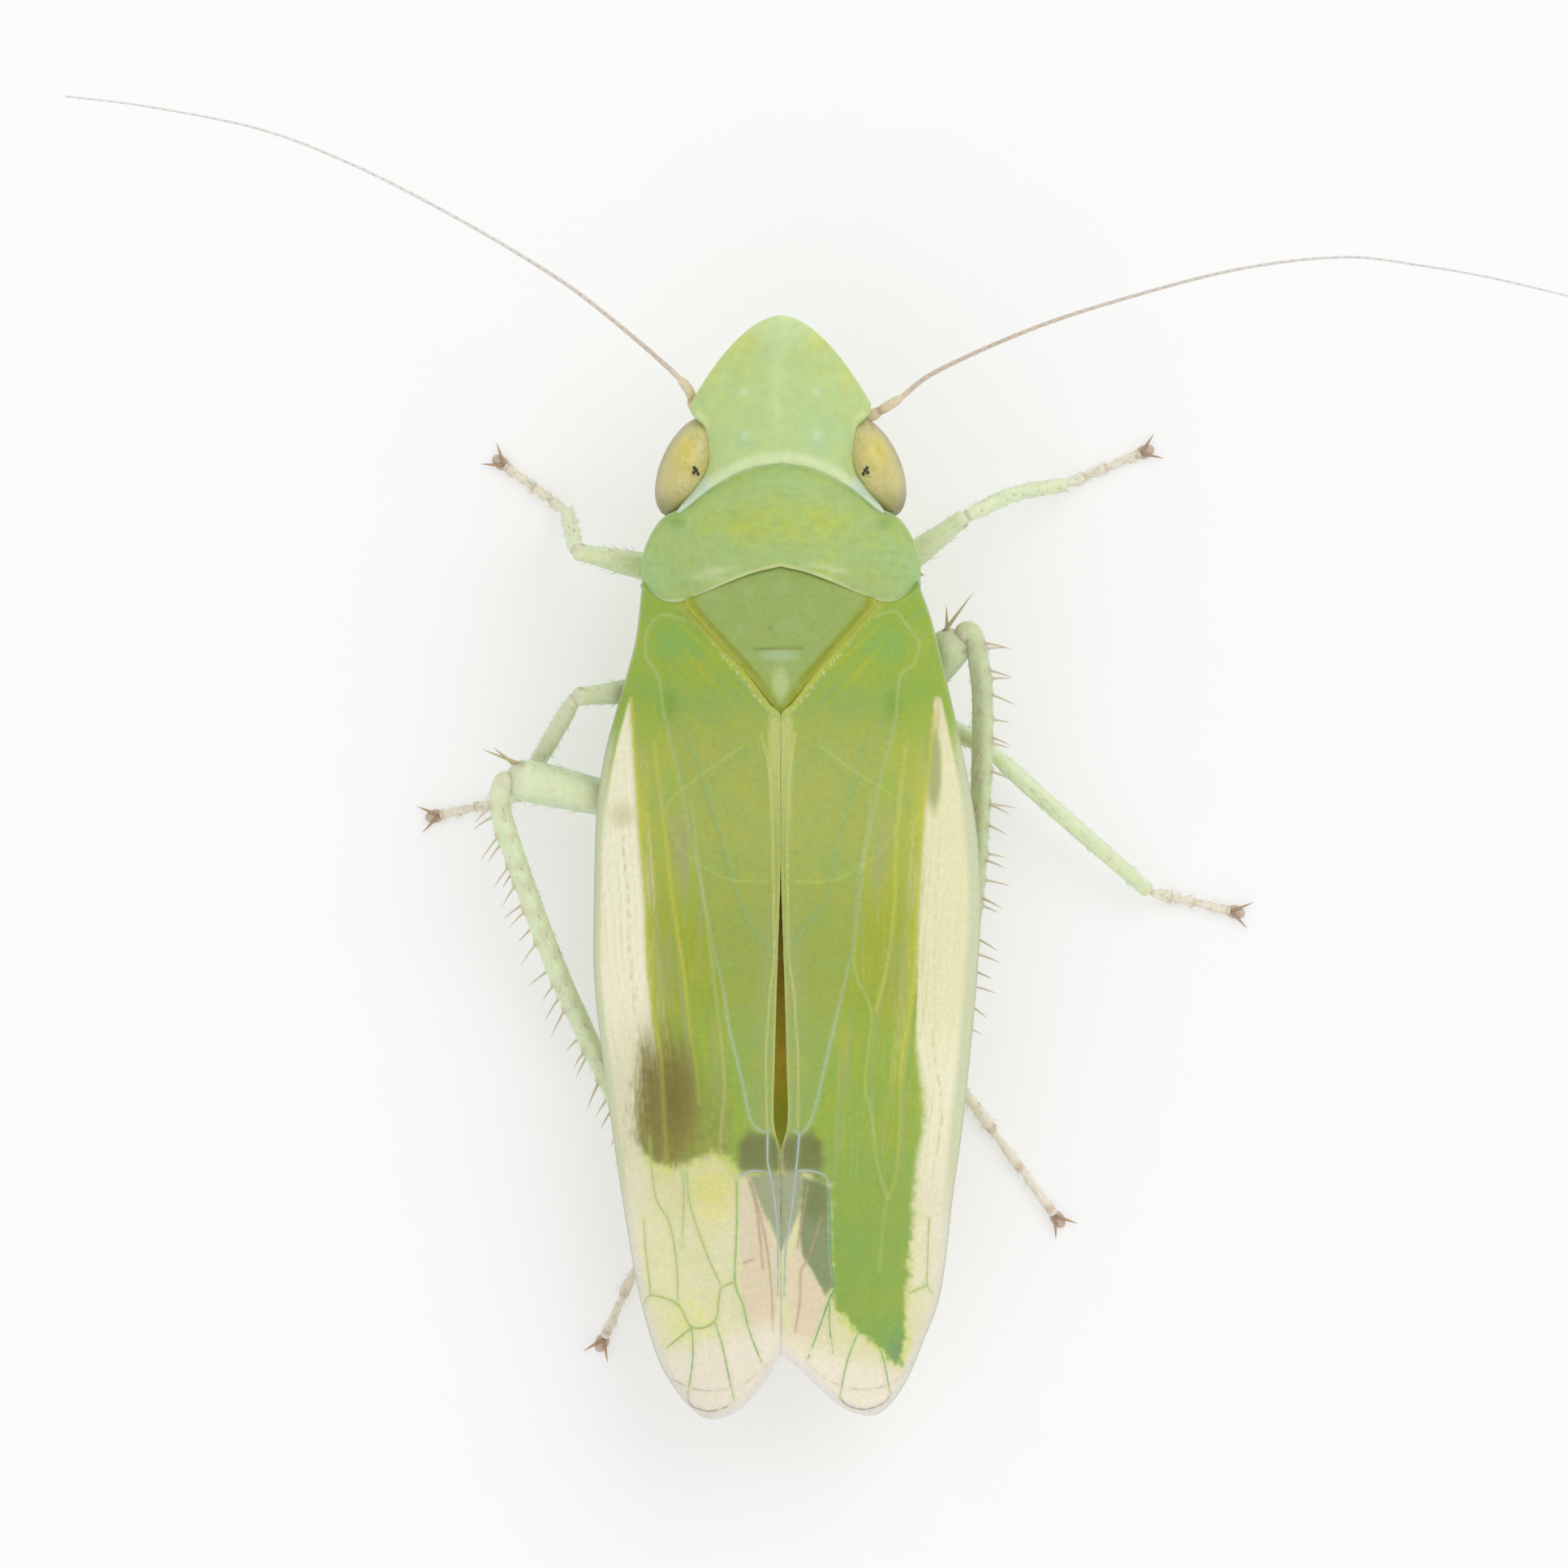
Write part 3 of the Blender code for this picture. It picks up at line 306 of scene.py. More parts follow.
class Route:
    """A smooth way through points, with its directions, asked for by the share of its length."""

    def __init__(self, points, steps=8):
        self.points = evenly(curve_through(points, steps), ROUTE_POINTS)
        self.length = np.linalg.norm(np.diff(self.points, axis=0), axis=1).sum()
        self.ways = frames_along(self.points)

    def at(self, share, table=None):
        table = self.points if table is None else table
        places = np.linspace(0, 1, ROUTE_POINTS)
        return np.column_stack([np.interp(share, places, column) for column in table.T])

    def skin(self, share, angle, radius):
        """Points on a tube round the route, sideways at angle 0 and on top at a quarter turn."""
        across, up = self.at(share, self.ways[1]), self.at(share, self.ways[2])
        out = np.cos(angle)[:, None] * across + np.sin(angle)[:, None] * up
        return self.at(share) + out * np.asarray(radius)[:, None], out


def limb(name, points, radius, sides, cuts, dense=0.7):
    """A tapering limb with round ends. radius(share, angle) takes the share of the length."""
    route = Route(points)

    def ring(share, angle):
        size = np.asarray(radius(share, angle), float)
        away = np.minimum(share, 1 - share) * route.length
        size = size * np.sqrt(np.clip(1 - np.clip(1 - away / size, 0, 1) ** 2, 0.004, 1))
        return route.skin(share, angle, size)[0]

    piece, share, angle = round_form(name, sides, cuts, ring, dense)
    return piece, share, angle, route


def thorn(sides, rings, bend):
    """A pointed, slightly bent cone of length 1 and root radius 1 along +X, as points and faces."""
    piece = fresh(bpy.ops.mesh.primitive_cone_add, "thorn", vertices=sides, radius1=1, radius2=0, depth=1)
    select_edges(piece, lambda a, b: abs(a.z - b.z) > 0.5)
    bpy.ops.mesh.subdivide(number_cuts=rings)
    bpy.ops.object.mode_set(mode="OBJECT")
    points = points_of(piece)
    share = points[:, 2] + 0.5
    thick = np.hypot(points[:, 0], points[:, 1])
    swell = np.where(thick > 1e-6, (1 - share) ** 0.75 / np.maximum(thick, 1e-6), 0)
    shape = np.column_stack([share, points[:, 0] * swell, points[:, 1] * swell])
    bow = bend * share**2
    faces = [list(face.vertices) for face in piece.data.polygons]
    bpy.data.objects.remove(piece)
    return shape, bow, faces


def planted(name, form, stems, homes):
    """One mesh of many thorns. A stem is its root, way, bow way, length, radius and tone.

    homes are the places of the stems' roots on the map of their limb.
    """
    shape, bow, faces = form
    points, all_faces, shades, shares = [], [], [], []
    for i, (root, way, lean, length, radius, tone) in enumerate(stems):
        way = np.array(way, float) / np.linalg.norm(way)
        side = np.cross(way, lean)
        side /= max(np.linalg.norm(side), 1e-9)
        over = np.cross(side, way)
        placed = (np.array(root) + shape[:, :1] * way * length + shape[:, 1:2] * side * radius
                  + shape[:, 2:3] * over * radius + bow[:, None] * over * length)
        all_faces += [[v + i * len(shape) for v in face] for face in faces]
        points.append(placed)
        shades.append(np.tile(linear(tone), (len(shape), 1)))
        shares.append(shape[:, 0])
    mesh = bpy.data.meshes.new(name)
    mesh.from_pydata(np.vstack(points).tolist(), [], all_faces)
    piece = bpy.data.objects.new(name, mesh)
    bpy.context.scene.collection.objects.link(piece)
    bake_patches(mesh, homes, shape)
    bpy.ops.object.select_all(action="DESELECT")
    piece.select_set(True)
    bpy.context.view_layer.objects.active = piece
    turn_outwards(piece)
    return piece, np.vstack(shades), np.concatenate(shares)


PATCH = 0.003


def bake_patches(mesh, homes, shape):
    """Gives every thorn a small patch of the map at its root's place on its limb's own skin."""
    unwrap = mesh.uv_layers.new(name="OFBake")
    corners = np.empty(len(mesh.loops), np.int32)
    mesh.loops.foreach_get("vertex_index", corners)
    home = np.array(homes)[corners // len(shape)]
    spread = np.column_stack([shape[:, 0], 0.5 + 0.5 * shape[:, 1]])[corners % len(shape)]
    unwrap.data.foreach_set("uv", (home + PATCH * (spread - 0.5)).astype(np.float32).ravel())


def finish_piece(piece, coat, look, nodes):
    """Colours a piece, sets it to metres, shades it and ties it to the frame."""
    layer = piece.data.color_attributes.new("coat", "FLOAT_COLOR", "POINT")
    layer.data.foreach_set("color", np.column_stack([coat, np.ones(len(coat))]).astype(np.float32).ravel())
    piece.data.transform(Matrix.Scale(MM, 4))
    piece.data.materials.clear()
    piece.data.materials.append(look)
    bpy.ops.object.select_all(action="DESELECT")
    piece.select_set(True)
    bpy.context.view_layer.objects.active = piece
    bpy.ops.object.shade_smooth()
    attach(piece, "root")
    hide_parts(*nodes)


def painted_look(name, roughness, mottle, relief, glow, coat=0.0, gloss=0.5):
    """Cuticle in the piece's own coat, mottled and finely pitted, with a soft light inside.

    mottle and relief are (size in mm, strength), roughness is (lowest, highest).
    """
    made = bpy.data.materials.new(name)
    made.use_nodes = True
    nodes, links = made.node_tree.nodes, made.node_tree.links
    shader = nodes["Principled BSDF"]
    place = nodes.new("ShaderNodeTexCoord")
    colour = nodes.new("ShaderNodeAttribute")
    colour.attribute_name = "coat"

    def speckle(size, detail):
        texture = nodes.new("ShaderNodeTexNoise")
        texture.inputs["Scale"].default_value = 1 / (size * MM)
        texture.inputs["Detail"].default_value = detail
        links.new(place.outputs["Object"], texture.inputs["Vector"])
        return texture.outputs["Fac"]

    shade = nodes.new("ShaderNodeMapRange")
    shade.inputs["From Min"].default_value = 0.3
    shade.inputs["From Max"].default_value = 0.7
    shade.inputs["To Min"].default_value = 1 - mottle[1]
    shade.inputs["To Max"].default_value = 1 + mottle[1]
    links.new(speckle(mottle[0], 4), shade.inputs["Value"])
    mixed = nodes.new("ShaderNodeVectorMath")
    mixed.operation = "MULTIPLY"
    links.new(colour.outputs["Color"], mixed.inputs[0])
    links.new(shade.outputs["Result"], mixed.inputs[1])
    links.new(mixed.outputs["Vector"], shader.inputs["Base Color"])

    rough = nodes.new("ShaderNodeMapRange")
    rough.inputs["To Min"].default_value, rough.inputs["To Max"].default_value = roughness
    links.new(speckle(mottle[0] * 0.6, 2), rough.inputs["Value"])
    links.new(rough.outputs["Result"], shader.inputs["Roughness"])

    bump = nodes.new("ShaderNodeBump")
    bump.inputs["Strength"].default_value = relief[1]
    bump.inputs["Distance"].default_value = relief[0] * MM * 0.35
    links.new(speckle(relief[0], 3), bump.inputs["Height"])
    links.new(bump.outputs["Normal"], shader.inputs["Normal"])

    shader.inputs["Subsurface Weight"].default_value = glow
    shader.inputs["Subsurface Radius"].default_value = (1.0, 0.9, 0.45)
    shader.inputs["Subsurface Scale"].default_value = 0.08 * MM
    shader.inputs["Coat Weight"].default_value = coat
    shader.inputs["Coat Roughness"].default_value = 0.25
    shader.inputs["IOR"].default_value = 1.45
    shader.inputs["Specular IOR Level"].default_value = gloss
    return made


LOOKS = {
    "cuticle": painted_look("cuticle", (0.34, 0.52), (0.05, 0.05), (0.016, 0.35), 0.35),
    "collar": painted_look("collar_cuticle", (0.34, 0.50), (0.04, 0.06), (0.014, 0.45), 0.35, gloss=0.35),
    "shield": painted_look("shield_cuticle", (0.42, 0.58), (0.018, 0.05), (0.010, 0.55), 0.3, gloss=0.3),
    "wing": painted_look("wing_membrane", (0.30, 0.48), (0.022, 0.05), (0.012, 0.30), 0.25, gloss=0.3),
    "film": painted_look("hindwing_membrane", (0.25, 0.40), (0.06, 0.04), (0.010, 0.25), 0.2),
    "eye": painted_look("eye_lens", (0.18, 0.30), (0.03, 0.05), (0.008, 0.10), 0.2, coat=0.4),
    "whip": painted_look("antenna_horn", (0.40, 0.60), (0.02, 0.08), (0.006, 0.30), 0.2),
    "leg": painted_look("leg_cuticle", (0.32, 0.50), (0.03, 0.05), (0.009, 0.40), 0.5),
    "foot": painted_look("foot_cuticle", (0.38, 0.60), (0.02, 0.08), (0.007, 0.40), 0.35),
    "horn": painted_look("spine_horn", (0.30, 0.45), (0.02, 0.08), (0.006, 0.20), 0.3),
}

# Surfaces of the back, as in the solids

BACK_TOP = 1.30
COLLAR_HALF_WIDTH = 0.675
COLLAR_DROP = 0.36
back_ridge = profile((-1.45, 1.215), (-1.2, 1.272), (-1.0, BACK_TOP), (-0.7, 1.29))
wing_ridge = profile((-0.85, 1.25), (-0.3, 1.245), (0.5, 1.235), (1.5, 1.17), (2.4, 1.07), (3.2, 0.95))
wing_drop = profile((-0.85, 0.28), (-0.3, 0.40), (0.3, 0.57), (1.0, 0.60), (2.0, 0.52), (3.2, 0.36))
HALF_WIDTHS = {
    "left": profile((-0.85, 0.68), (-0.24, 0.787), (0.25, 0.885), (0.65, 0.898), (1.1, 0.896),
                    (1.55, 0.842), (2.03, 0.776), (2.52, 0.694), (3.17, 0.58)),
    "right": profile((-0.85, 0.69), (-0.30, 0.814), (0.1, 0.90), (0.63, 0.963), (1.03, 0.947),
                     (1.69, 0.885), (2.1, 0.83), (2.56, 0.762), (3.17, 0.62)),
}
SIGN = {"left": 1.0, "right": -1.0}
scutellum_side = profile((-0.735, 0.454), (-0.588, 0.322), (-0.429, 0.18), (-0.308, 0.088), (-0.212, 0.012))

# The collar's edges in plan, from the midline outwards
COLLAR_FRONT = [(0.0, -1.416), (0.13, -1.394), (0.25, -1.346), (0.354, -1.284), (0.45, -1.215),
                (0.557, -1.163), (0.618, -1.09), (0.660, -0.99), (0.674, -0.90)]
COLLAR_HIND = [(0.655, -0.825), (0.595, -0.768), (0.517, -0.747), (0.40, -0.778), (0.28, -0.832),
               (0.13, -0.890), (0.0, -0.921)]
COLLAR_RING = curve_through(COLLAR_FRONT + COLLAR_HIND, 10)
WIDEST = int(np.argmax(COLLAR_RING[:, 0]))


def collar_front(x):
    """How far forwards the collar reaches at a way out from the midline."""
    front = COLLAR_RING[:WIDEST + 1]
    return np.interp(np.abs(x), front[:, 0], front[:, 1])


def collar_hind(x):
    hind = COLLAR_RING[WIDEST:][::-1]
    return np.interp(np.abs(x), hind[:, 0], hind[:, 1])


def collar_height(x, y):
    return back_ridge(y) - COLLAR_DROP * (np.abs(x) / COLLAR_HALF_WIDTH) ** 2.2


def shield_height(x, y):
    return 1.265 - 0.045 * (y + 0.9) / 0.7 - 0.42 * x * x


def wing_height(side, out, y):
    share = out / HALF_WIDTHS[side](y)
    return wing_ridge(y) - wing_drop(y) * (0.2 * share + 0.8 * share**2.4)


# Head

HEAD_TIP = -2.128
HEAD_END = -1.12
FACE_END = -1.26
HEAD_TIP_HEIGHT = 1.03
NOSE_WIDTH = 0.70
NOSE_POWER = 0.56
HEAD_SIDES = 128
TUCK = 0.055
FACE_RIB = 0.024
RIM_POINTS = 40
socket_half = profile((-1.75, 0.430), (-1.66, 0.430), (-1.63, 0.405), (-1.59, 0.366), (-1.53, 0.358),
                      (-1.47, 0.351), (-1.42, 0.349), (-1.36, 0.368), (-1.312, 0.402), (-1.274, 0.4305),
                      (-1.206, 0.4885), (-1.172, 0.525), (HEAD_END, 0.52))
eye_edge = curve_through([(0.398, -1.655), (0.3585, -1.619), (0.3585, -1.547), (0.349, -1.47),
                          (0.346, -1.432), (0.363, -1.374), (0.402, -1.312), (0.4305, -1.274),
                          (0.4885, -1.206), (0.530, -1.172)], 6)


def nose_half(y):
    """Half the head's width: a rounded point in front, then the sockets of the eyes."""
    depth = np.maximum(y - HEAD_TIP, 0)
    return np.minimum(NOSE_WIDTH * depth**NOSE_POWER, socket_half(y))


def cheek_line(y):
    """The way out to the groove between the face and the cheek."""
    return 0.30 - 0.14 * smooth(y, -2.05, -1.5)


def head_ring(share, angle):
    """The crown above its edge, the swollen face below, and the back that goes under the collar."""
    end = HEAD_END + (FACE_END - HEAD_END) * smooth(-np.sin(angle), -0.2, 0.5)
    y = HEAD_TIP + (end - HEAD_TIP) * (0.0006 + 0.9994 * share**1.6)
    depth = y - HEAD_TIP
    half = nose_half(y)
    edge = HEAD_TIP_HEIGHT + 0.06 * np.minimum(depth / 0.7, 1.0)
    crown = 0.005 + 0.145 * (1 - np.exp(-depth / 0.45))
    face = 0.35 * np.sqrt(depth) + 0.40 * depth
    across, up = np.cos(angle), np.sin(angle)
    narrow = np.where(up < 0, 1 - 0.22 * up**2, 1.0)
    x = half * across * narrow
    z = edge + np.where(up >= 0, crown, face) * up
    above = smooth(up, 0.0, 0.5)
    dip = -0.004 * np.exp(-((np.abs(x) - 0.20) / 0.07) ** 2 - ((y + 1.56) / 0.14) ** 2)
    ridge = -0.004 * bell(x, 0.008) * smooth(y, -1.95, -1.75)
    behind = smooth(y - collar_front(x), -0.010, 0.035)
    z = z + above * (dip + ridge) - above * TUCK * behind
    below = smooth(-up, 0.2, 0.7)
    z = z - below * 0.045 * bell(x, 0.17) * smooth(depth, 0.05, 0.35)
    z = z + below * 0.012 * bell(np.abs(x) - cheek_line(y), 0.016)
    z = z + below * 0.003 * np.sin(y / FACE_RIB * math.pi) * bell(np.abs(x) - 0.10, 0.05)
    closing = np.sqrt(np.clip(1 - (np.clip(share - 0.95, 0, 1) / 0.055) ** 2, 0.1, 1))
    return np.column_stack([x * closing, y, 0.8 + (z - 0.8) * closing])


HEAD_GROUND = [
    ("head_warm", (0.20, -1.93), (0.20, 0.16), 0.5, 0.5),
    ("head_warm", (0.34, -1.70), (0.10, 0.12), 0.5, 0.5),
    ("head_blue", (0.18, -1.535), (0.05, 0.07), 0.5, 0.35),
]
HEAD_MARKS = [
    ("head_gold", (0.20, -2.0), (0.12, 0.10), 0.9, 0.55),
    ("head_gold", (0.32, -1.82), (0.07, 0.12), 0.9, 0.5),
    ("frost_blue", (0.175, -1.76), (0.035, 0.035), 1.0, 0.7),
    ("frost_blue", (0.17, -1.55), (0.03, 0.05), 1.0, 0.8),
    ("head_blue", (0.15, -1.50), (0.06, 0.04), 1.0, 0.6),
]
NECK_BEHIND_EYE = [(0.36, -1.37), (0.55, -1.165), (0.56, -1.12), (0.30, -1.25)]


def paint_head(points):
    out, y = np.abs(points[:, 0]), points[:, 1]
    mirrored = np.column_stack([out, y])
    coat = first_coat(len(points), "head")
    lay(coat, "head_front", smooth(y, -1.93, -2.10) * 0.8)
    lay_ovals(coat, mirrored, HEAD_GROUND)
    lay(coat, "head_blue", cloud(points, 0.14, 1) * 0.6)
    lay(coat, "head_warm", cloud(points, 0.10, 2) * 0.4)
    lay(coat, "head_band", bell(points[:, 0] - 0.01, 0.045) * 0.30 * smooth(y, -1.45, -1.65))
    lay_ovals(coat, mirrored, HEAD_MARKS)
    speck = grain(points, 0.022, 40)
    lay(coat, "head_warm", np.clip(speck, 0, 1) * 0.35)
    lay(coat, "head_blue", np.clip(-speck, 0, 1) * 0.35)
    lay(coat, "head_band", smooth(y - collar_front(out), -0.085, -0.035) * smooth(out, 0.42, 0.34))
    rim = reach(mirrored, eye_edge[:RIM_POINTS])
    lay(coat, "eye_rim", bell(rim, 0.016) * 0.9)
    lay(coat, "neck_pale", inside(mirrored, NECK_BEHIND_EYE, 0.015))
    under = smooth(points[:, 2], 1.02, 0.97) * smooth(y, -2.10, -2.0)
    lay(coat, "face", under * 0.8)
    lay(coat, "suture", under * bell(out - cheek_line(y), 0.010) * 0.5)
    lay(coat, "suture", under * 0.18 * (np.sin(y / FACE_RIB * math.pi) > 0.4) * oval(
        mirrored, (0.10, -1.75), (0.07, 0.35)))
    return coat


def make_head():
    piece, _, _ = round_form("head_skin", HEAD_SIDES, (99,), head_ring)
    points = points_of(piece)
    coat = paint_head(points)
    finish_piece(piece, coat, LOOKS["cuticle"], ["head"])


# Eyes

EYE_CENTRE = np.array((0.445, -1.402, 0.935))
EYE_RADII = np.array((0.130, 0.258, 0.222))
EYE_TURN = math.radians(-24.0)
FACET_RISE = 0.0009
EYE_SPOT = np.array((0.404, -1.382))
EYE_SPOT_PARTS = [(0.0, 0.0), (0.013, 0.010), (-0.008, 0.016), (0.010, -0.012)]
EYE_SPOT_RADII = (0.0085, 0.0105)
EYE_MARKS = [
    ("eye_gold", (0.46, -1.47), (0.10, 0.16), 0.9, 0.8),
    ("eye_pale", (0.40, -1.60), (0.07, 0.08), 0.9, 0.6),
]


def make_eye(side, draw):
    """An oval of about ten thousand small lenses, golden with a sandy edge and dark dots."""
    piece = fresh(bpy.ops.mesh.primitive_ico_sphere_add, f"eye_lens_{side}", subdivisions=6, radius=1)
    centres = len(piece.data.vertices)
    bpy.ops.object.mode_set(mode="EDIT")
    bpy.ops.mesh.select_all(action="SELECT")
    bpy.ops.mesh.subdivide(number_cuts=1)
    bpy.ops.object.mode_set(mode="OBJECT")
    ball = points_of(piece)
    ball /= np.linalg.norm(ball, axis=1)[:, None]
    lens = np.arange(len(ball)) < centres
    points = ball * EYE_RADII + ball * np.where(lens, FACET_RISE, -FACET_RISE)[:, None]
    turn = np.array(Matrix.Rotation(EYE_TURN, 3, "Z"))
    points = points @ turn.T + EYE_CENTRE
    plan = points[:, :2].copy()
    coat = first_coat(len(points), "eye")
    rear = smooth(plan[:, 1], -1.33, -1.17)
    round_edge = np.hypot(ball[:, 0], ball[:, 1])
    lay_ovals(coat, plan, EYE_MARKS)
    lay(coat, "eye_sand", smooth(round_edge, 0.70, 0.97) * (0.25 + 0.5 * smooth(ball[:, 2], -0.1, 0.3)))
    lay(coat, "eye_dusk", rear * 0.8)
    lay(coat, "eye_sand", cloud(points, 0.02, 38) * 0.4)
    spot_away = np.linalg.norm(plan - EYE_SPOT, axis=1)
    crowd = 0.02 + 0.22 * rear + 0.40 * oval(plan, (0.385, -1.50), (0.05, 0.10), 0.9)
    crowd += 0.5 * smooth(spot_away, 0.075, 0.02) + 0.35 * oval(plan, (0.46, -1.27), (0.06, 0.09), 0.9)
    crowd *= 0.5 + 2.2 * np.clip(grain(points, 0.035, 39), -0.2, 0.6)
    dots = np.array([draw.random() for _ in range(len(ball))]) < crowd
    lay(coat, "eye_dot", (dots & lens) * 0.85)
    for away in EYE_SPOT_PARTS:
        part = np.linalg.norm((plan - EYE_SPOT - away) / EYE_SPOT_RADII, axis=1)
        lay(coat, "eye_spot", smooth(part, 1.3, 0.7))
    points[:, 0] *= SIGN[side]
    move_points(piece, points)
    turn_outwards(piece)
    finish_piece(piece, coat, LOOKS["eye"], [f"eye_{side}"])


# Feelers

ANTENNAE = {
    "left": [(0.39, -1.66, 0.93), (0.417, -1.695, 0.95), (0.491, -1.831, 0.99), (0.912, -2.190, 1.08),
             (1.231, -2.405, 1.14), (1.652, -2.646, 1.21), (2.073, -2.856, 1.27), (2.498, -3.016, 1.32),
             (3.024, -3.121, 1.37), (3.429, -3.172, 1.40)],
    "right": [(-0.40, -1.63, 0.93), (-0.455, -1.658, 0.945), (-0.576, -1.732, 0.97),
              (-0.748, -1.859, 1.00), (-1.192, -2.057, 1.06), (-1.633, -2.202, 1.11),
              (-2.190, -2.346, 1.16), (-2.697, -2.404, 1.20), (-3.075, -2.362, 1.22),
              (-3.410, -2.303, 1.23), (-3.870, -2.194, 1.22)],
}
feeler_radius = profile((0, 0.026), (0.018, 0.029), (0.024, 0.021), (0.030, 0.025), (0.052, 0.023),
                        (0.058, 0.014), (0.30, 0.0098), (0.65, 0.0068), (1, 0.0045))
FEELER_JOINTS = 70


def make_antenna(side):
    """Two stout joints, then a whip of short rings that tapers to a hair."""

    def rings(share):
        return np.cos(share * FEELER_JOINTS * 2 * math.pi)

    def radius(share, _):
        return feeler_radius(share) * (1 + 0.09 * rings(share) * smooth(share, 0.06, 0.10))

    piece, share, _, _ = limb(f"feeler_{side}", ANTENNAE[side], radius, 10, (99, 3), 0.0)
    coat = first_coat(len(share), "whip")
    lay(coat, "whip_end", smooth(share, 0.15, 0.8) if side == "right" else smooth(share, 0.02, 0.5))
    lay(coat, "beige", smooth(share, 0.075, 0.055))
    lay(coat, "beige_deep", bell(share - 0.024, 0.004) * 0.7)
    lay(coat, "beige_deep", (rings(share) < -0.5) * 0.35 * smooth(share, 0.06, 0.1))
    finish_piece(piece, coat, LOOKS["whip"], [f"antenna_{side}"])


# Collar and shield

COLLAR_MESH = (150, 110)
COLLAR_DEPTH = 0.05
COLLAR_REACH = 0.672
SHIELD_MESH = (90, 90)
SHIELD_DEPTH = 0.045


def collar_place(across, along):
    """The collar with a rolled hind rim, a faint groove before it, fine cross wrinkles and two shallow
    dimples.
    """
    x = COLLAR_REACH * np.sin((across - 0.5) * math.pi)
    front, hind = collar_front(x), collar_hind(x)
    y = front + (hind - front) * along
    z = collar_height(x, y)
    to_hind, to_front = hind - y, y - front
    wrinkle = grain(np.column_stack([x, y]), (0.16, 0.022), 5)
    z += 0.0030 * wrinkle * smooth(to_hind, 0.03, 0.08) * smooth(to_front, 0.02, 0.12)
    z -= 0.0025 * bell(to_hind - 0.024, 0.008)
    z -= 0.014 * smooth(to_hind, 0.014, 0.0) + 0.020 * smooth(to_front, 0.03, 0.0)
    z -= 0.004 * np.exp(-((np.abs(x) - 0.24) / 0.05) ** 2 - ((y + 1.22) / 0.05) ** 2)
    return np.column_stack([x, y, z])


def paint_collar(points):
    out, y = np.abs(points[:, 0]), points[:, 1]
    front, hind = collar_front(out), collar_hind(out)
    coat = first_coat(len(points), "collar")
    flat, half = points[:, :2], np.column_stack([out, y])
    speck, cross = grain(flat, 0.028, 36), grain(flat, (0.12, 0.030), 5)
    lay(coat, "collar_hind", smooth(y, -1.05, -0.85) * 0.6)
    heart = oval(half, (0.12, -1.13), (0.36, 0.15), 0.8)
    lay(coat, "collar_gold", heart * (0.55 + 0.45 * grain(flat, 0.09, 37)))
    lay(coat, "collar_gold", cloud(points, 0.13, 3) * 0.5 + np.clip(speck, 0, 1) * 0.35)
    lay(coat, "collar_blue", cloud(points, 0.11, 4) * 0.6 + np.clip(-speck, 0, 1) * 0.35)
    lay(coat, "collar_blue", smooth(out, 0.42, 0.66) * smooth(y, -1.05, -0.95) * 0.7)
    lay(coat, "leaf_dark", smooth(y - front, 0.075, 0.015) * 0.22)
    lay(coat, "leaf_dark", oval(half, (0.50, -1.13), (0.07, 0.05), 0.9) * 0.45)
    lay(coat, "head_band", smooth(y - front, 0.012, 0.0) * 0.5)
    # Painted sheen: two whitish, streaked patches on the collar's hind slope stand for soft highlights there
    painted_sheen = oval(flat, (-0.20, -0.90), (0.16, 0.06), 0.8) + oval(flat, (0.30, -0.89), (0.18, 0.07), 0.8)
    lay(coat, "painted_sheen", np.clip(painted_sheen * 0.45 * (0.8 + 1.6 * cross), 0, 0.6))
    between = smooth(hind - y, 0.02, 0.08) * smooth(y - front, 0.08, 0.16)
    lay(coat, "leaf_dark", np.clip(-cross, 0, 1) * between * 0.22)
    lay(coat, "rim", smooth(hind - y, 0.017, 0.009) * 0.8)
    return coat


def make_collar():
    piece = blanket("collar_plate", *COLLAR_MESH, collar_place, COLLAR_DEPTH)
    coat = paint_collar(points_of(piece))
    finish_piece(piece, coat, LOOKS["collar"], ["pronotum"])


SHIELD_FRONT = -0.96
SHIELD_TIP = -0.212
SHIELD_SUTURE = np.array([(0.125, -0.524), (0.06, -0.528), (0.0, -0.530), (-0.105, -0.530)])
SHIELD_DOT = (0.05, -0.631)


def shield_place(across, along):
    y = SHIELD_FRONT + (SHIELD_TIP - SHIELD_FRONT) * (1 - (1 - along) ** 1.25)
    half = scutellum_side(y) + 0.003
    x = half * (2 * across - 1)
    z = shield_height(x, y)
    rim = half - np.abs(x)
    z -= 0.008 * smooth(rim, 0.016, 0.0)
    z -= 0.010 * bell(rim - 0.040, 0.014) * smooth(y, -0.30, -0.42)
    z -= 0.006 * bell(reach(np.column_stack([x, y]), SHIELD_SUTURE), 0.006)
    z -= 0.05 * smooth(collar_hind(x) - y, -0.012, 0.035)
    z += 0.0022 * grain(np.column_stack([x, y]), 0.018, 7)
    return np.column_stack([x, y, z])


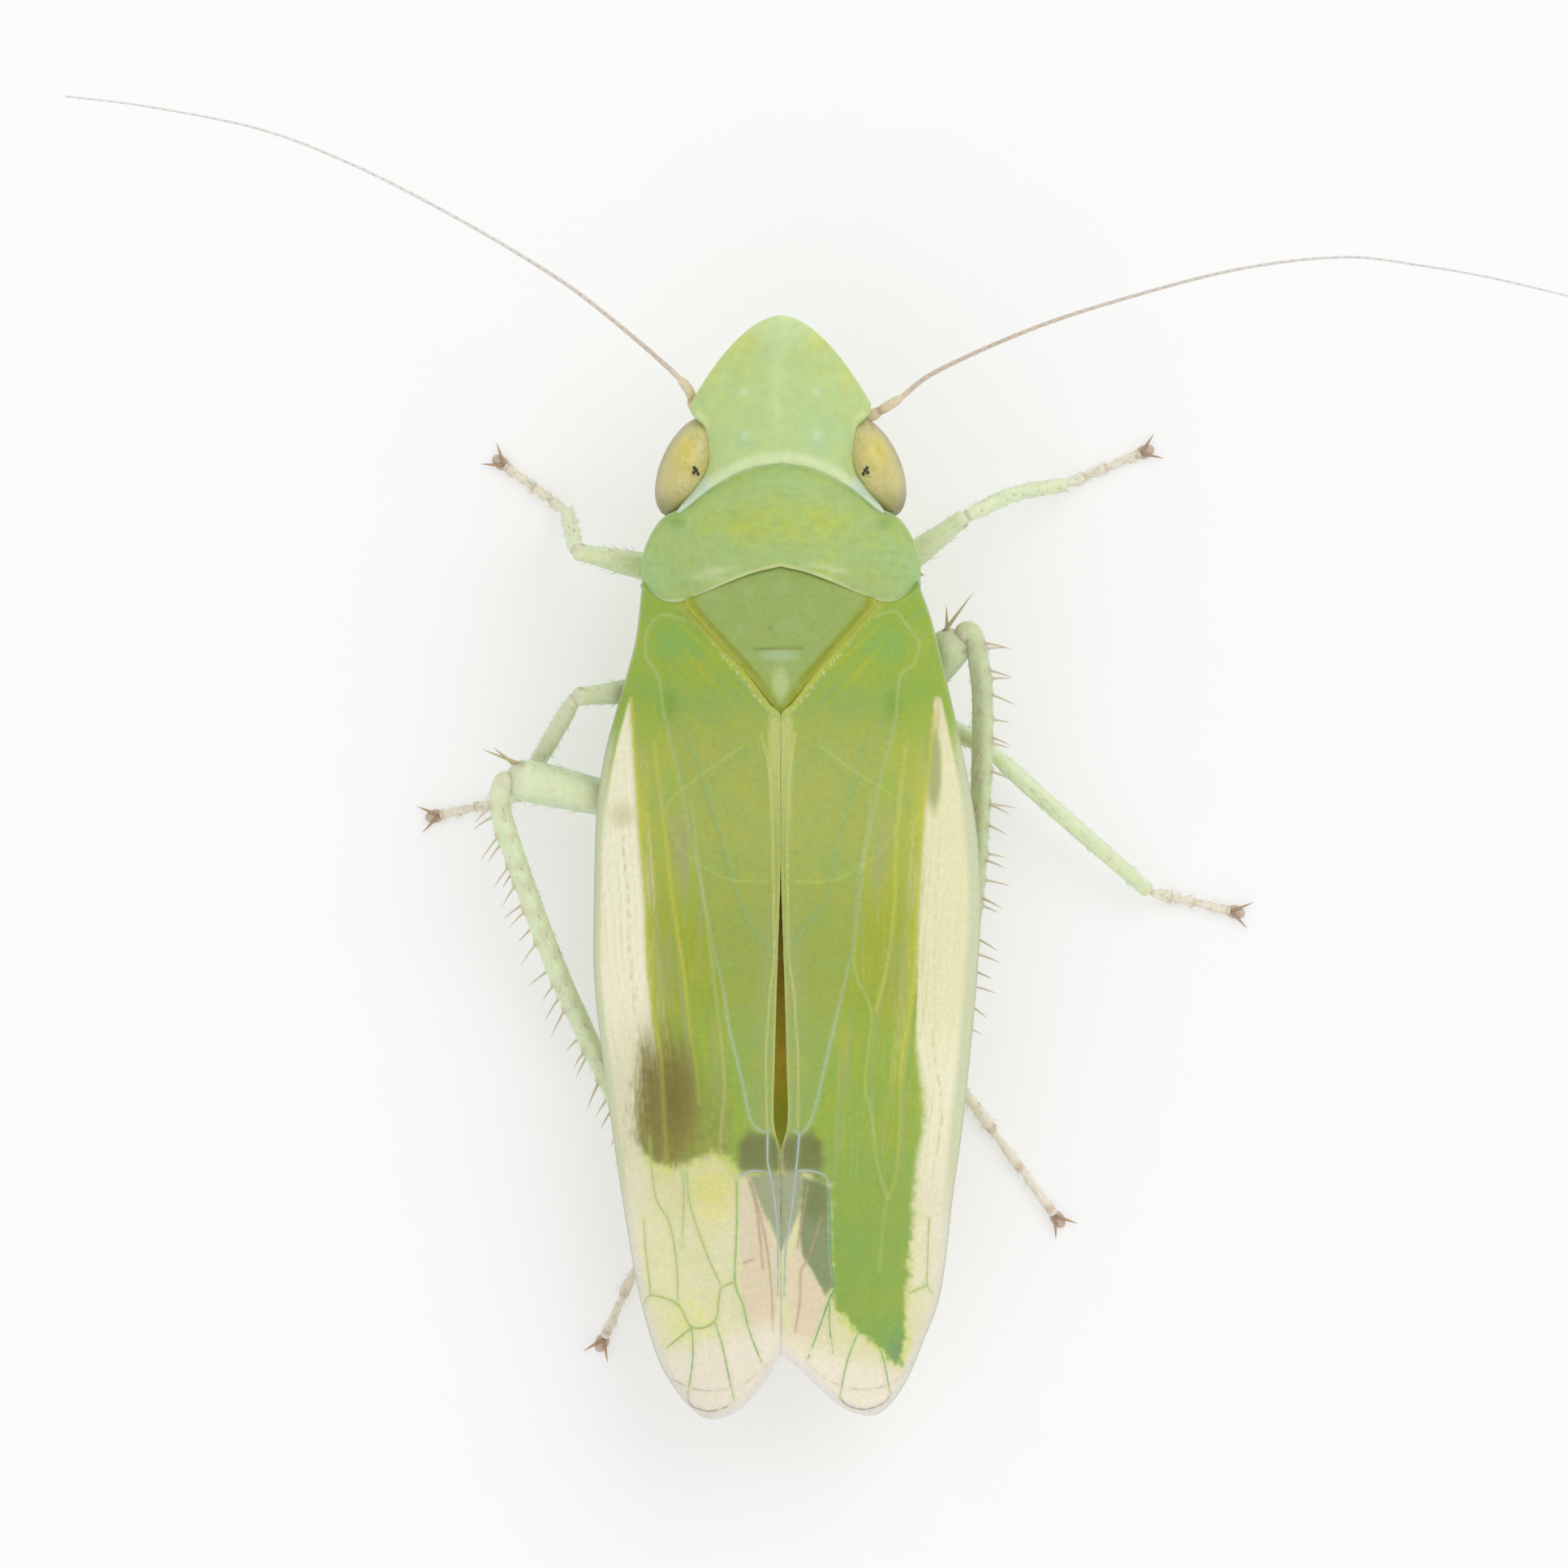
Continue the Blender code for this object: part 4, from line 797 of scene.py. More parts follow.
def paint_shield(points):
    x, y = points[:, 0], points[:, 1]
    plan = points[:, :2]
    rim = scutellum_side(y) - np.abs(x)
    coat = first_coat(len(points), "shield")
    lay(coat, "shield_light", cloud(points, 0.07, 8) * 0.8)
    lay(coat, "groove", cloud(points, 0.05, 9) * 0.25)
    lay(coat, "leaf_cool", cloud(points, 0.035, 11) * 0.35)
    lay(coat, "shield_blue", oval(plan, (0.005, -0.495), (0.125, 0.04), 0.7) * 0.8)
    lay(coat, "shield_tip", oval(plan, (0.0, -0.36), (0.06, 0.12), 0.7) * 0.9)
    lay(coat, "shield_line", bell(reach(plan, SHIELD_SUTURE), 0.006) * 0.7)
    lay(coat, "groove", smooth(rim, 0.085, 0.020) * (0.75 + 0.25 * grain(points, 0.05, 10)))
    lay(coat, "vein_gold", smooth(rim, 0.012, 0.004) * 0.5)
    lay(coat, "shield_line", bell(np.linalg.norm(plan - SHIELD_DOT, axis=1), 0.012) * 0.6)
    return coat


def make_shield():
    piece = blanket("shield_plate", *SHIELD_MESH, shield_place, SHIELD_DEPTH)
    coat = paint_shield(points_of(piece))
    finish_piece(piece, coat, LOOKS["shield"], ["scutellum"])


# Forewings. Every way and outline is (ways out from the midline, place along the body).

WING_FRONT = -0.93
WING_DEPTH = 0.026
WING_MESH = (96, 500)
# The rows of a wing's mesh draw together from here to its tip
TIP_SHARE = 0.92
TIP_START = 2.88
SHIELD_SIDE_START = -0.735
LEFT_OUTLINE = [(0.668, -0.815), (0.701, -0.553), (0.787, -0.242), (0.846, -0.019), (0.885, 0.253),
                (0.898, 0.643), (0.896, 1.072), (0.842, 1.551), (0.776, 2.030), (0.694, 2.517),
                (0.624, 2.790), (0.557, 2.954), (0.448, 3.102), (0.339, 3.172), (0.203, 3.129),
                (0.078, 2.993), (0.006, 2.872)]
RIGHT_OUTLINE = [(0.672, -0.815), (0.729, -0.651), (0.814, -0.304), (0.896, 0.070), (0.939, 0.320),
                 (0.963, 0.628), (0.947, 1.033), (0.885, 1.688), (0.830, 2.097), (0.772, 2.557),
                 (0.686, 2.802), (0.604, 2.993), (0.511, 3.118), (0.413, 3.157), (0.277, 3.102),
                 (0.156, 2.993), (0.058, 2.900), (0.006, 2.862)]
slit_half = profile((0.50, 0.0005), (0.70, 0.006), (1.10, 0.019), (1.485, 0.029), (1.75, 0.032),
                    (1.88, 0.0005))
WING_ROUTES = {"left": curve_through(LEFT_OUTLINE, 12), "right": curve_through(RIGHT_OUTLINE, 12)}

LEFT_VEINS = {
    "costal_line": [(.72, -.29), (.675, .36), (.65, .68), (.64, .96), (.61, 1.24), (.575, 1.45),
                    (.565, 1.62), (.553, 1.82), (.546, 1.93)],
    "radius": [(.61, -.08), (.54, .49), (.51, .75), (.465, 1.03), (.435, 1.31), (.41, 1.45), (.39, 1.66)],
    "media": [(.43, .20), (.385, .57), (.35, .82), (.31, 1.17), (.285, 1.38), (.27, 1.58), (.29, 1.86),
              (.24, 1.96), (.21, 2.01)],
    "suture": [(.555, -.21), (.485, .10), (.43, .37), (.365, .68), (.32, .90), (.277, 1.09),
               (.242, 1.31), (.19, 1.52), (.152, 1.70), (.125, 1.76), (.082, 1.79), (.055, 1.78)],
    "anal_outer": [(.436, -.08), (.386, .055), (.288, .375), (.218, .60), (.136, .81), (.04, .92)],
    "commissure": [(.094, -.12), (.05, .10), (.036, .56), (.033, .955), (.05, 1.10), (.07, 1.42),
                   (.066, 1.77)],
    "arc": [(.19, -.055), (.37, .07), (.53, .20), (.54, .30), (.48, .43), (.38, .51), (.24, .58),
            (.066, .59)],
    "shoulder": [(.455, -.665), (.573, -.69), (.64, -.61), (.646, -.49), (.586, -.39), (.56, -.20)],
    "tip_media": [(.21, 2.01), (.21, 2.25), (.218, 2.51), (.183, 2.61), (.148, 2.75), (.086, 2.91)],
    "cell_low": [(.218, 2.51), (.269, 2.53), (.292, 2.56), (.316, 2.70), (.425, 2.73), (.495, 2.62),
                 (.624, 2.58), (.659, 2.63)],
    "cell_outer": [(.624, 2.58), (.647, 2.37), (.659, 2.21)],
    "cell_mid": [(.495, 2.62), (.499, 2.43), (.534, 2.23), (.604, 2.09), (.631, 1.81)],
    "cell_inner": [(.284, 2.53), (.335, 2.42), (.386, 2.29), (.436, 2.13), (.452, 1.97)],
    "cell_short": [(.468, 1.98), (.464, 2.13), (.475, 2.35)],
    "spur": [(.425, 2.73), (.546, 2.83)],
    "tip_outer": [(.425, 2.73), (.421, 2.88), (.448, 3.07)],
    "tip_inner": [(.316, 2.70), (.281, 2.81), (.249, 2.96), (.222, 3.08)],
    "rim": [(.448, 3.07), (.425, 3.11), (.347, 3.133), (.265, 3.114), (.222, 3.083)],
    "border": [(.53, 2.98), (.436, 3.02), (.347, 3.036), (.242, 3.024), (.168, 2.997), (.066, 2.907)],
    "appendix": [(.062, 1.79), (.062, 1.93), (.043, 2.03), (.019, 2.20), (.012, 2.37), (.012, 2.59)],
    "cross": [(.21, 2.01), (.175, 1.99), (.125, 1.976), (.062, 1.98)],
}
RIGHT_VEINS = {
    "costal_line": [(.733, -.21), (.705, .10), (.682, .30), (.651, .76), (.635, 1.10), (.581, 1.48),
                    (.573, 1.73), (.565, 1.88), (.546, 2.03), (.511, 2.11)],
    "radius": [(.60, -.05), (.56, .30), (.55, .49), (.548, .68), (.511, .99), (.456, 1.21)],
    "media": [(.43, .20), (.39, .57), (.36, .85), (.359, 1.03), (.433, 1.20), (.421, 1.38), (.405, 1.57),
              (.44, 1.73), (.46, 1.93), (.511, 2.11)],
    "fork_low": [(.511, 2.11), (.499, 2.17), (.487, 2.29), (.475, 2.46)],
    "suture": [(.557, -.21), (.479, .10), (.421, .37), (.37, .60), (.343, .90), (.288, 1.15),
               (.218, 1.45), (.164, 1.68), (.125, 1.77), (.094, 1.80), (.062, 1.78)],
    "anal_outer": [(.401, -.08), (.359, .08), (.261, .46), (.23, .655), (.175, .74), (.051, .89)],
    "commissure": [(.07, -.12), (.04, .10), (.032, .565), (.039, .955), (.06, 1.10), (.082, 1.42),
                   (.082, 1.77)],
    "arc": [(.191, -.055), (.37, .07), (.553, .195), (.565, .29), (.495, .43), (.397, .51), (.246, .585),
            (.066, .59)],
    "shoulder": [(.455, -.68), (.547, -.705), (.626, -.613), (.665, -.547), (.639, -.455), (.573, -.39),
                 (.555, -.20)],
    "bound": [(.234, 2.05), (.238, 2.23), (.242, 2.41), (.257, 2.53), (.234, 2.59), (.199, 2.69),
              (.156, 2.81), (.125, 2.89)],
    "bound_low": [(.234, 2.61), (.234, 2.73), (.253, 2.86)],
    "cross": [(.078, 1.976), (.144, 1.976), (.21, 2.00), (.234, 2.05)],
    "appendix": [(.09, 1.79), (.078, 1.93), (.062, 2.085), (.047, 2.20), (.023, 2.37), (.016, 2.59)],
    "tip_inner": [(.374, 2.75), (.343, 2.82), (.312, 2.92), (.281, 3.07)],
    "tip_outer": [(.479, 2.84), (.499, 2.91), (.522, 3.03), (.53, 3.055)],
    "cell_outer": [(.713, 2.20), (.705, 2.43), (.705, 2.53), (.74, 2.58)],
    "cell_low": [(.705, 2.53), (.612, 2.57)],
    "rim": [(.281, 3.067), (.323, 3.106), (.405, 3.125), (.491, 3.098), (.53, 3.055)],
    "border": [(.121, 2.89), (.207, 2.97), (.323, 3.02), (.429, 3.028), (.538, 2.997), (.635, 2.90)],
}
VEINS = {"left": LEFT_VEINS, "right": RIGHT_VEINS}
# How each vein looks: tone, half width, strength of its colour, rise
VEIN_STYLES = {
    "costal_line": ("vein_gold", 0.018, 0.75, 0.008), "radius": ("vein_gold", 0.016, 0.65, 0.010),
    "media": ("vein_pale", 0.014, 0.45, 0.010), "suture": ("vein_ice", 0.011, 0.38, -0.005),
    "anal_outer": ("vein_teal", 0.014, 0.55, 0.008), "commissure": ("seam", 0.009, 0.75, 0.006),
    "arc": ("vein_lime", 0.010, 0.26, 0.003), "appendix": ("vein_ice", 0.012, 0.7, 0.008),
    "rim": ("vein_grey", 0.010, 0.5, 0.004), "border": ("vein_grey", 0.010, 0.35, 0.004),
    "cross": ("vein_ice", 0.012, 0.6, 0.008), "spur": ("vein_green", 0.010, 0.5, 0.006),
    "shoulder": ("vein_pale", 0.014, 0.55, 0.006),
}
PLAIN_STYLE = ("vein_green", 0.0115, 0.70, 0.008)

BLOTCH_END = [(.95, 1.97), (.721, 1.933), (.631, 1.921), (.534, 1.945), (.436, 1.929), (.32, 1.882),
              (.242, 1.933), (.19, 1.97)]
band_start = {
    "left": profile((-0.29, 0.72), (0.36, 0.675), (0.68, 0.65), (0.96, 0.64), (1.24, 0.615), (1.45, 0.60),
                    (1.6, 0.645), (1.75, 0.665), (1.9, 0.66), (2.05, 0.62)),
    "right": profile((-0.21, 0.735), (0.10, 0.705), (0.30, 0.685), (0.76, 0.662), (1.1, 0.655), (1.39, 0.65),
                     (1.53, 0.672), (1.68, 0.687), (1.82, 0.679), (1.96, 0.651), (2.25, 0.622), (2.6, 0.61)),
}
CLAVUS_END = [(.0, 1.83), (.06, 1.80), (.15, 1.79), (.20, 1.85), (.205, 1.95), (.19, 1.985), (.0, 1.995)]
LEFT_WINDOW = [(.195, 2.05), (.175, 2.02), (.066, 2.20), (.016, 2.38), (.016, 2.59), (.023, 2.825),
               (.094, 2.825), (.14, 2.73), (.187, 2.60), (.195, 2.44)]
LEFT_WEDGE = [(.157, 2.0), (.099, 2.137), (.041, 2.25), (-.01, 2.38), (-.01, 1.99)]
RIGHT_WEDGE = [(.10, 1.99), (.095, 2.15), (.05, 2.27), (-.01, 2.38), (-.01, 1.99)]
RIGHT_GREEN = [(.694, 1.54), (.662, 1.93), (.639, 2.20), (.62, 2.43), (.612, 2.53), (.60, 2.68),
               (.612, 2.77), (.581, 2.92), (.542, 2.92), (.472, 2.84), (.362, 2.76), (.312, 2.71),
               (.242, 2.60), (.235, 2.40), (.235, 2.05), (.08, 1.97), (.0, 1.90), (.0, -.9), (.80, -.9),
               (.75, -.2), (.70, .4), (.68, 1.0)]
RIGHT_WINDOW = [(.074, 2.29), (.109, 2.40), (.144, 2.45), (.21, 2.58), (.191, 2.69), (.125, 2.825),
                (.055, 2.786), (.031, 2.59), (.031, 2.436)]
RIGHT_PATCH = [(.101, 2.00), (.23, 2.05), (.238, 2.41), (.253, 2.53), (.214, 2.58), (.144, 2.45),
               (.101, 2.39), (.09, 2.28), (.097, 2.15)]
FOLDS = {
    "left": [[(.16, 2.01), (.105, 2.16), (.062, 2.37), (.043, 2.58), (.035, 2.75)],
             [(.145, 2.03), (.11, 2.20), (.085, 2.45)], [(.179, 2.42), (.129, 2.40)]],
    "right": [[(.195, 2.20), (.129, 2.40), (.097, 2.46), (.094, 2.59), (.07, 2.75)],
              [(.13, 2.05), (.10, 2.22), (.08, 2.35)]],
}
# Fine veins are slender ridges of their own, half sunk in the membrane: tone and radius
FINE_VEINS = {
    "tip_media": ("vein_green", 0.0055), "cell_low": ("vein_lime", 0.0050),
    "cell_outer": ("vein_lime", 0.0042), "cell_mid": ("vein_lime", 0.0040),
    "cell_inner": ("vein_lime", 0.0042), "cell_short": ("vein_lime", 0.0032),
    "spur": ("vein_lime", 0.0050), "tip_outer": ("vein_green", 0.0042), "tip_inner": ("vein_green", 0.0042),
    "rim": ("vein_grey", 0.0036), "border": ("vein_grey", 0.0024), "appendix": ("vein_ice", 0.0052),
    "cross": ("vein_ice", 0.0048), "bound": ("vein_teal", 0.0048), "bound_low": ("vein_teal", 0.0036),
    "fork_low": ("vein_pale", 0.0036),
}
STAIN_WIDTH = 0.016
STAIN_RISE = 0.001
CREASE_RADIUS = 0.0018
RIDGE_SIDES = 6


def wing_edges(side):
    """The outer and the inner way out at each place along a wing."""
    route = WING_ROUTES[side]
    end = int(np.argmax(route[:, 1]))
    outer, notch = route[:end + 1], route[end:][::-1]

    def at(y):
        inner = np.maximum(scutellum_side(y) * smooth(y, -0.20, -0.26) + 0.0005, slit_half(y))
        inner = np.where(y < SHIELD_SIDE_START, scutellum_side(SHIELD_SIDE_START), inner)
        inner = np.where(y > notch[0, 1], np.interp(y, notch[:, 1], notch[:, 0]), inner)
        return inner, np.interp(y, outer[:, 1], outer[:, 0])

    return at, route[end, 1]


def wing_place(side):
    """The wing's upper face with its veins, as a function for a grid's shares."""
    edges, tip = wing_edges(side)

    def place(across, along):
        front = WING_FRONT + (TIP_START - WING_FRONT) * along / TIP_SHARE
        behind = tip - (tip - TIP_START) * ((1 - along) / (1 - TIP_SHARE)) ** 2
        y = np.where(along < TIP_SHARE, front, behind)
        y = np.minimum(y, tip - 0.0004)
        inner, outer = edges(y)
        out = inner + (outer - inner) * across
        plan = np.column_stack([out, y])
        z = wing_height(side, out, y)
        nearest = np.full(len(plan), 1.0)
        for name, way in VEINS[side].items():
            _, width, _, rise = VEIN_STYLES.get(name, PLAIN_STYLE)
            rise = STAIN_RISE if name in FINE_VEINS else rise
            away = reach(plan, curve_through(way, 5))
            nearest = np.minimum(nearest, away)
            z += rise * bell(away, 0.75 * width)
        z -= 0.004 * smooth(nearest, 0.015, 0.07)
        z -= 0.006 * smooth(outer - out, 0.02, 0.0) + 0.0006 * smooth(out - inner, 0.008, 0.0)
        under = np.where(out < 0.66, collar_hind(out), -0.815)
        z -= TUCK * smooth(under - y, -0.008, 0.045)
        z += 0.0018 * grain(plan, 0.03, 12)
        return np.column_stack([SIGN[side] * out, y, z])

    return place


def paint_wing(side, points):
    out, y = np.abs(points[:, 0]), points[:, 1]
    plan = np.column_stack([out, y])
    edges, _ = wing_edges(side)
    inner, outer = edges(y)
    left = side == "left"

    def way_out(vein):
        line = np.array(VEINS[side][vein])
        return np.interp(y, line[:, 1], line[:, 0])

    broad, fine, dust = grain(plan, 0.16, 21), grain(plan, 0.035, 22), grain(plan, 0.016, 28)
    torn = 0.010 * grain(plan, 0.05, 23) + 0.006 * grain(plan, 0.02, 24)
    start, fold, cream_start = way_out("costal_line"), way_out("suture"), band_start[side](y)
    clavus = smooth(fold - out, -0.01, 0.02) * smooth(y, -0.5, -0.2)
    # Streaks run with the veins, so they are drawn on the share of the way out to the costal line
    run = np.column_stack([out / start, y])
    streak, hairline = grain(run, (0.055, 0.55), 29), grain(run, (0.022, 0.40), 30)

    coat = first_coat(len(points), "leaf_bright")
    lay(coat, "leaf_base", smooth(y, 0.05, -0.32) * 0.85)
    lay(coat, "leaf_deep", smooth(y, 0.35, 0.95) * 0.75 * smooth(y, 1.6, 1.1))
    lay(coat, "leaf_end", smooth(y, 1.0, 1.5))
    lay(coat, "leaf_cool", np.clip(broad, 0, 1) * 0.6 + np.clip(fine, 0, 1) * 0.4)
    lay(coat, "leaf_gold", np.clip(-broad, 0, 1) * 0.5 + np.clip(-dust, 0, 1) * 0.35)
    lay(coat, "leaf_grey", clavus * (0.30 + 0.3 * np.clip(fine, 0, 1)))
    corium = (1 - clavus) * smooth(y, -0.35, 0.1) * smooth(y, 2.2, 1.8)
    lay(coat, "leaf_mauve", corium * np.clip(streak * 1.6, 0, 1) * (0.75 if left else 0.6))
    lay(coat, "leaf_gold", corium * np.clip(-hairline * 1.5, 0, 1) * 0.45)
    lay(coat, "vein_pale", corium * np.clip(hairline - 0.25, 0, 1) * 0.8)

    # The base: a cool shoulder, gold rays from it and glints along the edge beside the shield
    root = smooth(y, -0.05, -0.3)
    lay(coat, "leaf_cool", oval(plan, (0.50, -0.56), (0.17, 0.15), 0.8) * 0.6)
    rays = grain(np.column_stack([out * 0.75 - y * 0.66, out * 0.66 + y * 0.75]), (0.30, 0.035), 31)
    lay(coat, "leaf_gold", root * np.clip(rays * 1.6, 0, 1) * 0.45 * smooth(out, 0.55, 0.40))
    lay(coat, "vein_teal", root * np.clip(-rays, 0, 1) * 0.4)
    lay(coat, "leaf_dark", oval(plan, (0.54, -0.26), (0.07, 0.12), 0.9) * 0.5)
    hem = out - inner
    lay(coat, "vein_gold", smooth(hem, 0.060, 0.015) * smooth(y, -0.19, -0.25) * 0.55)
    lay(coat, "glint", smooth(np.abs(hem - 0.040), 0.022, 0.006) * smooth(dust, 0.12, 0.3)
        * smooth(y, -0.05, -0.2) * smooth(y, -0.62, -0.5) * 0.4)
    lay(coat, "seam", smooth(hem, 0.070, 0.045) * smooth(y, -0.26, -0.16) * smooth(y, 0.5, -0.1) * 0.55)
    lay(coat, "clavus", clavus * smooth(out, 0.16, 0.05) * smooth(y, 0.5, 0.9) * 0.5)

    # The pale apex, which on the left starts below the dark blotch and on the right at a torn end
    if left:
        end = np.interp(out, [p[0] for p in BLOTCH_END[::-1]], [p[1] for p in BLOTCH_END[::-1]])
        pale = smooth(y - end + 1.5 * torn, -0.03, 0.05)
        fringe = smooth(np.abs(y - end - 0.01), 0.07, 0.01) * smooth(fine, -0.4, 0.3)
    else:
        green = inside(plan, RIGHT_GREEN, 0.026, 2.2 * torn)
        pale = (1 - green) * smooth(y, 1.75, 2.0)
        fringe = 4 * green * (1 - green) * smooth(y, 2.45, 2.7) * smooth(fine, -0.5, 0.2)
        lay(coat, "leaf_teal", smooth(y + 0.35 * (out - 0.5), 2.60, 2.88) * (0.65 + 0.5 * fine))
        lay(coat, "ash_teal", oval(plan, (0.56, 2.84), (0.07, 0.10), 0.9) * 0.7)
        lay(coat, "leaf_dusk", smooth(y, 1.6, 2.3) * 0.25)
    lay(coat, "apex", pale)
    lay(coat, "apex_lime", pale * np.clip(grain(plan, 0.10, 25) + 0.2, 0, 1) * 0.8)
    lay(coat, "apex_dull", pale * cloud(plan, 0.04, 35) * 0.5)
    lay(coat, "clear", pale * smooth(out, 0.58, 0.75) * 0.7)
    lay(coat, "apex_dull", pale * smooth(y, 2.45, 2.75) * 0.5)
    crinkle = grain(plan, (0.045, 0.028), 50)
    if left:
        lay(coat, "apex_gold", oval(plan, (0.33, 2.12), (0.16, 0.26), 0.9) * (0.75 + 0.5 * crinkle))
        lay(coat, "apex_bright", oval(plan, (0.42, 2.72), (0.22, 0.26), 0.9) * (0.5 + 0.9 * crinkle))
    lay(coat, "apex_dull", pale * np.clip(-crinkle - 0.1, 0, 1) * 0.5)
    lay(coat, "apex_bright", fringe * 0.55)
    lay(coat, "cream", pale * smooth(y, 2.05, 2.25) * (0.28 if left else 0.1))

    # The cream band along the outer edge, with fine lines of gold and tan beside it
    beside = smooth(out - start, -0.075, -0.030) * smooth(out - start, 0.03, 0.0) * smooth(y, -0.15, 0.3)
    beside *= smooth(y, 1.75, 1.45)
    lay(coat, "vein_gold", beside * np.clip(0.35 + 1.4 * hairline, 0, 1) * 0.8)
    lay(coat, "cream_streak", beside * np.clip(-2.0 * hairline, 0, 1) * (0.9 if left else 0.6))
    soft = smooth(y, 1.2, 1.6)
    band = smooth(out - cream_start + (0.4 + soft) * torn, -0.004 - 0.02 * soft, 0.012 + 0.03 * soft)
    band *= smooth(y, -0.31, -0.26)
    band *= smooth(outer - out, 0.040, 0.058) + smooth(y, -0.10, 0.45) * smooth(outer - out, 0.058, 0.040)
    band *= smooth(y, 2.15, 1.8)
    lay(coat, "cream", band)
    lay(coat, "cream_dull", band * smooth(y, 1.2, 1.6) * (0.55 if left else 0.3))
    lay(coat, "cream_streak", band * cloud(run, (0.018, 0.5), 26) * 0.6)
    wavy = cream_start + 0.085 + 0.010 * grain(np.column_stack([y, y]), 0.12, 34)
    lay(coat, "tan", band * bell(out - wavy, 0.006) * smooth(y, 0.2, 0.4) * smooth(fine, -0.3, 0.2) * 0.5)
    if left:
        lay(coat, "cream_streak", oval(plan, (0.76, 0.27), (0.10, 0.10), 0.9) * 0.75)
        lay(coat, "cream_dull", band * smooth(y, 0.9, 1.5) * 0.3)
    else:
        lay(coat, "cream_warm", band * 0.65 * smooth(y, 1.6, 1.2))
        lay(coat, "tan", band * np.clip(hairline - 0.1, 0, 1) * smooth(out - cream_start, 0.08, 0.02) * 0.9)
        lay(coat, "leaf_grey", oval(plan, (0.735, 0.05), (0.05, 0.26), 0.5) * 0.85)

    if left:
        fuzz = grain(np.column_stack([out, y]), (0.012, 0.06), 48)
        low_edge = np.interp(out, [0.22, 0.32, 0.42, 0.50, 0.60, 0.70], [1.90, 1.88, 1.93, 1.955, 1.93, 1.84])
        shade = smooth(y - low_edge + 0.035 * fuzz + torn, 0.03, -0.035)
        shade *= smooth(out + 0.05 * fuzz, 0.745, 0.655)
        core = np.linalg.norm((plan - (0.575, 1.66)) / (0.19, 0.44), axis=1)
        lay(coat, "blotch_soft", smooth(core + 0.25 * hairline, 1.20, 0.45) * 0.8 * shade)
        lay(coat, "blotch", smooth(core + 0.20 * fine + 0.35 * hairline, 0.90, 0.15) * 0.92 * shade)
        veil = smooth(y, 1.42, 1.80) * smooth(out, 0.19, 0.30) * (0.42 + 0.5 * np.clip(fine, -0.5, 0.6))
        lay(coat, "blotch_soft", veil * shade)
        haze = oval(plan, (0.47, 1.60), (0.14, 0.36), 0.9) * (0.55 + 0.4 * hairline)
        lay(coat, "blotch", haze * shade)
        lay(coat, "ash", smooth(np.abs(y - low_edge), 0.06, 0.01) * smooth(fuzz, -0.3, 0.4) * shade * 0.5)
    lay(coat, "ash", inside(plan, CLAVUS_END, 0.030, torn) * 0.9)
    lay(coat, "blotch", oval(plan, (0.165, 1.85), (0.045, 0.07), 0.9) * 0.35)

    # Clear windows, their folds and the whitish tip
    if left:
        lay(coat, "window", inside(plan, LEFT_WINDOW, 0.010, 0.5 * torn) * 0.9)
        lay(coat, "wedge", inside(plan, LEFT_WEDGE, 0.012, 0.5 * torn) * 0.9)
    else:
        lay(coat, "wedge", inside(plan, RIGHT_WEDGE, 0.012, 0.5 * torn) * 0.9)
        lay(coat, "moss_soft", inside(plan, RIGHT_PATCH, 0.012, 0.5 * torn))
        lay(coat, "moss", oval(plan, (0.17, 2.12), (0.09, 0.16), 0.7) * 0.8)
        lay(coat, "window", inside(plan, RIGHT_WINDOW, 0.012, 0.5 * torn) * 0.9)
    for way in FOLDS[side]:
        lay(coat, "fold", bell(reach(plan, curve_through(way, 5)), 0.007) * 0.5)
    tip_start = 2.72 if left else 2.80
    lay(coat, "tip", smooth(y + 0.3 * (0.35 - out), tip_start, tip_start + 0.16) * pale)
    lay(coat, "tip_edge", smooth(reach(plan, WING_ROUTES[side]), 0.05, 0.02) * smooth(y, 2.7, 2.9))

    for name, way in VEINS[side].items():
        tone, width, strength, _ = VEIN_STYLES.get(name, PLAIN_STYLE)
        away = reach(plan, curve_through(way, 5))
        if name in FINE_VEINS:
            width, strength = STAIN_WIDTH, 0.45 * strength
        mark = bell(away, 0.6 * width) * strength
        if name in ("suture", "anal_outer", "commissure"):
            mark *= 0.8 + 0.8 * np.clip(dust, -0.4, 0.5) * smooth(y, 1.4, 1.0)
        if name == "suture":
            mark *= 1 + 1.1 * smooth(y, 0.9, 1.4)
        if name in ("costal_line", "radius"):
            mark *= 1 - 0.55 * smooth(y, 1.1, 1.45)
        lay(coat, tone, mark)
        lay(coat, "leaf_dusk", bell(away - width, 0.4 * width) * 0.08 * strength)
    hem_width = 0.045 if left else 0.045 + 0.035 * smooth(y, -0.1, 0.4) * smooth(y, 2.4, 1.6)
    border = smooth(outer - out, hem_width, 0.5 * hem_width) * smooth(y, -0.2, 0.0)
    lay(coat, "margin", border * (0.9 - 0.65 * smooth(y, 1.9, 2.4)))
    lay(coat, "tip_edge", border * smooth(y, 1.9, 2.4) * 0.55)
    lay(coat, "margin_grey", smooth(outer - out, 0.012, 0.004) * 0.6)
    lay(coat, "seam", smooth(hem, 0.012, 0.003) * smooth(y, -0.2, -0.1) * smooth(y, 2.0, 1.85) * 0.6)
    return coat


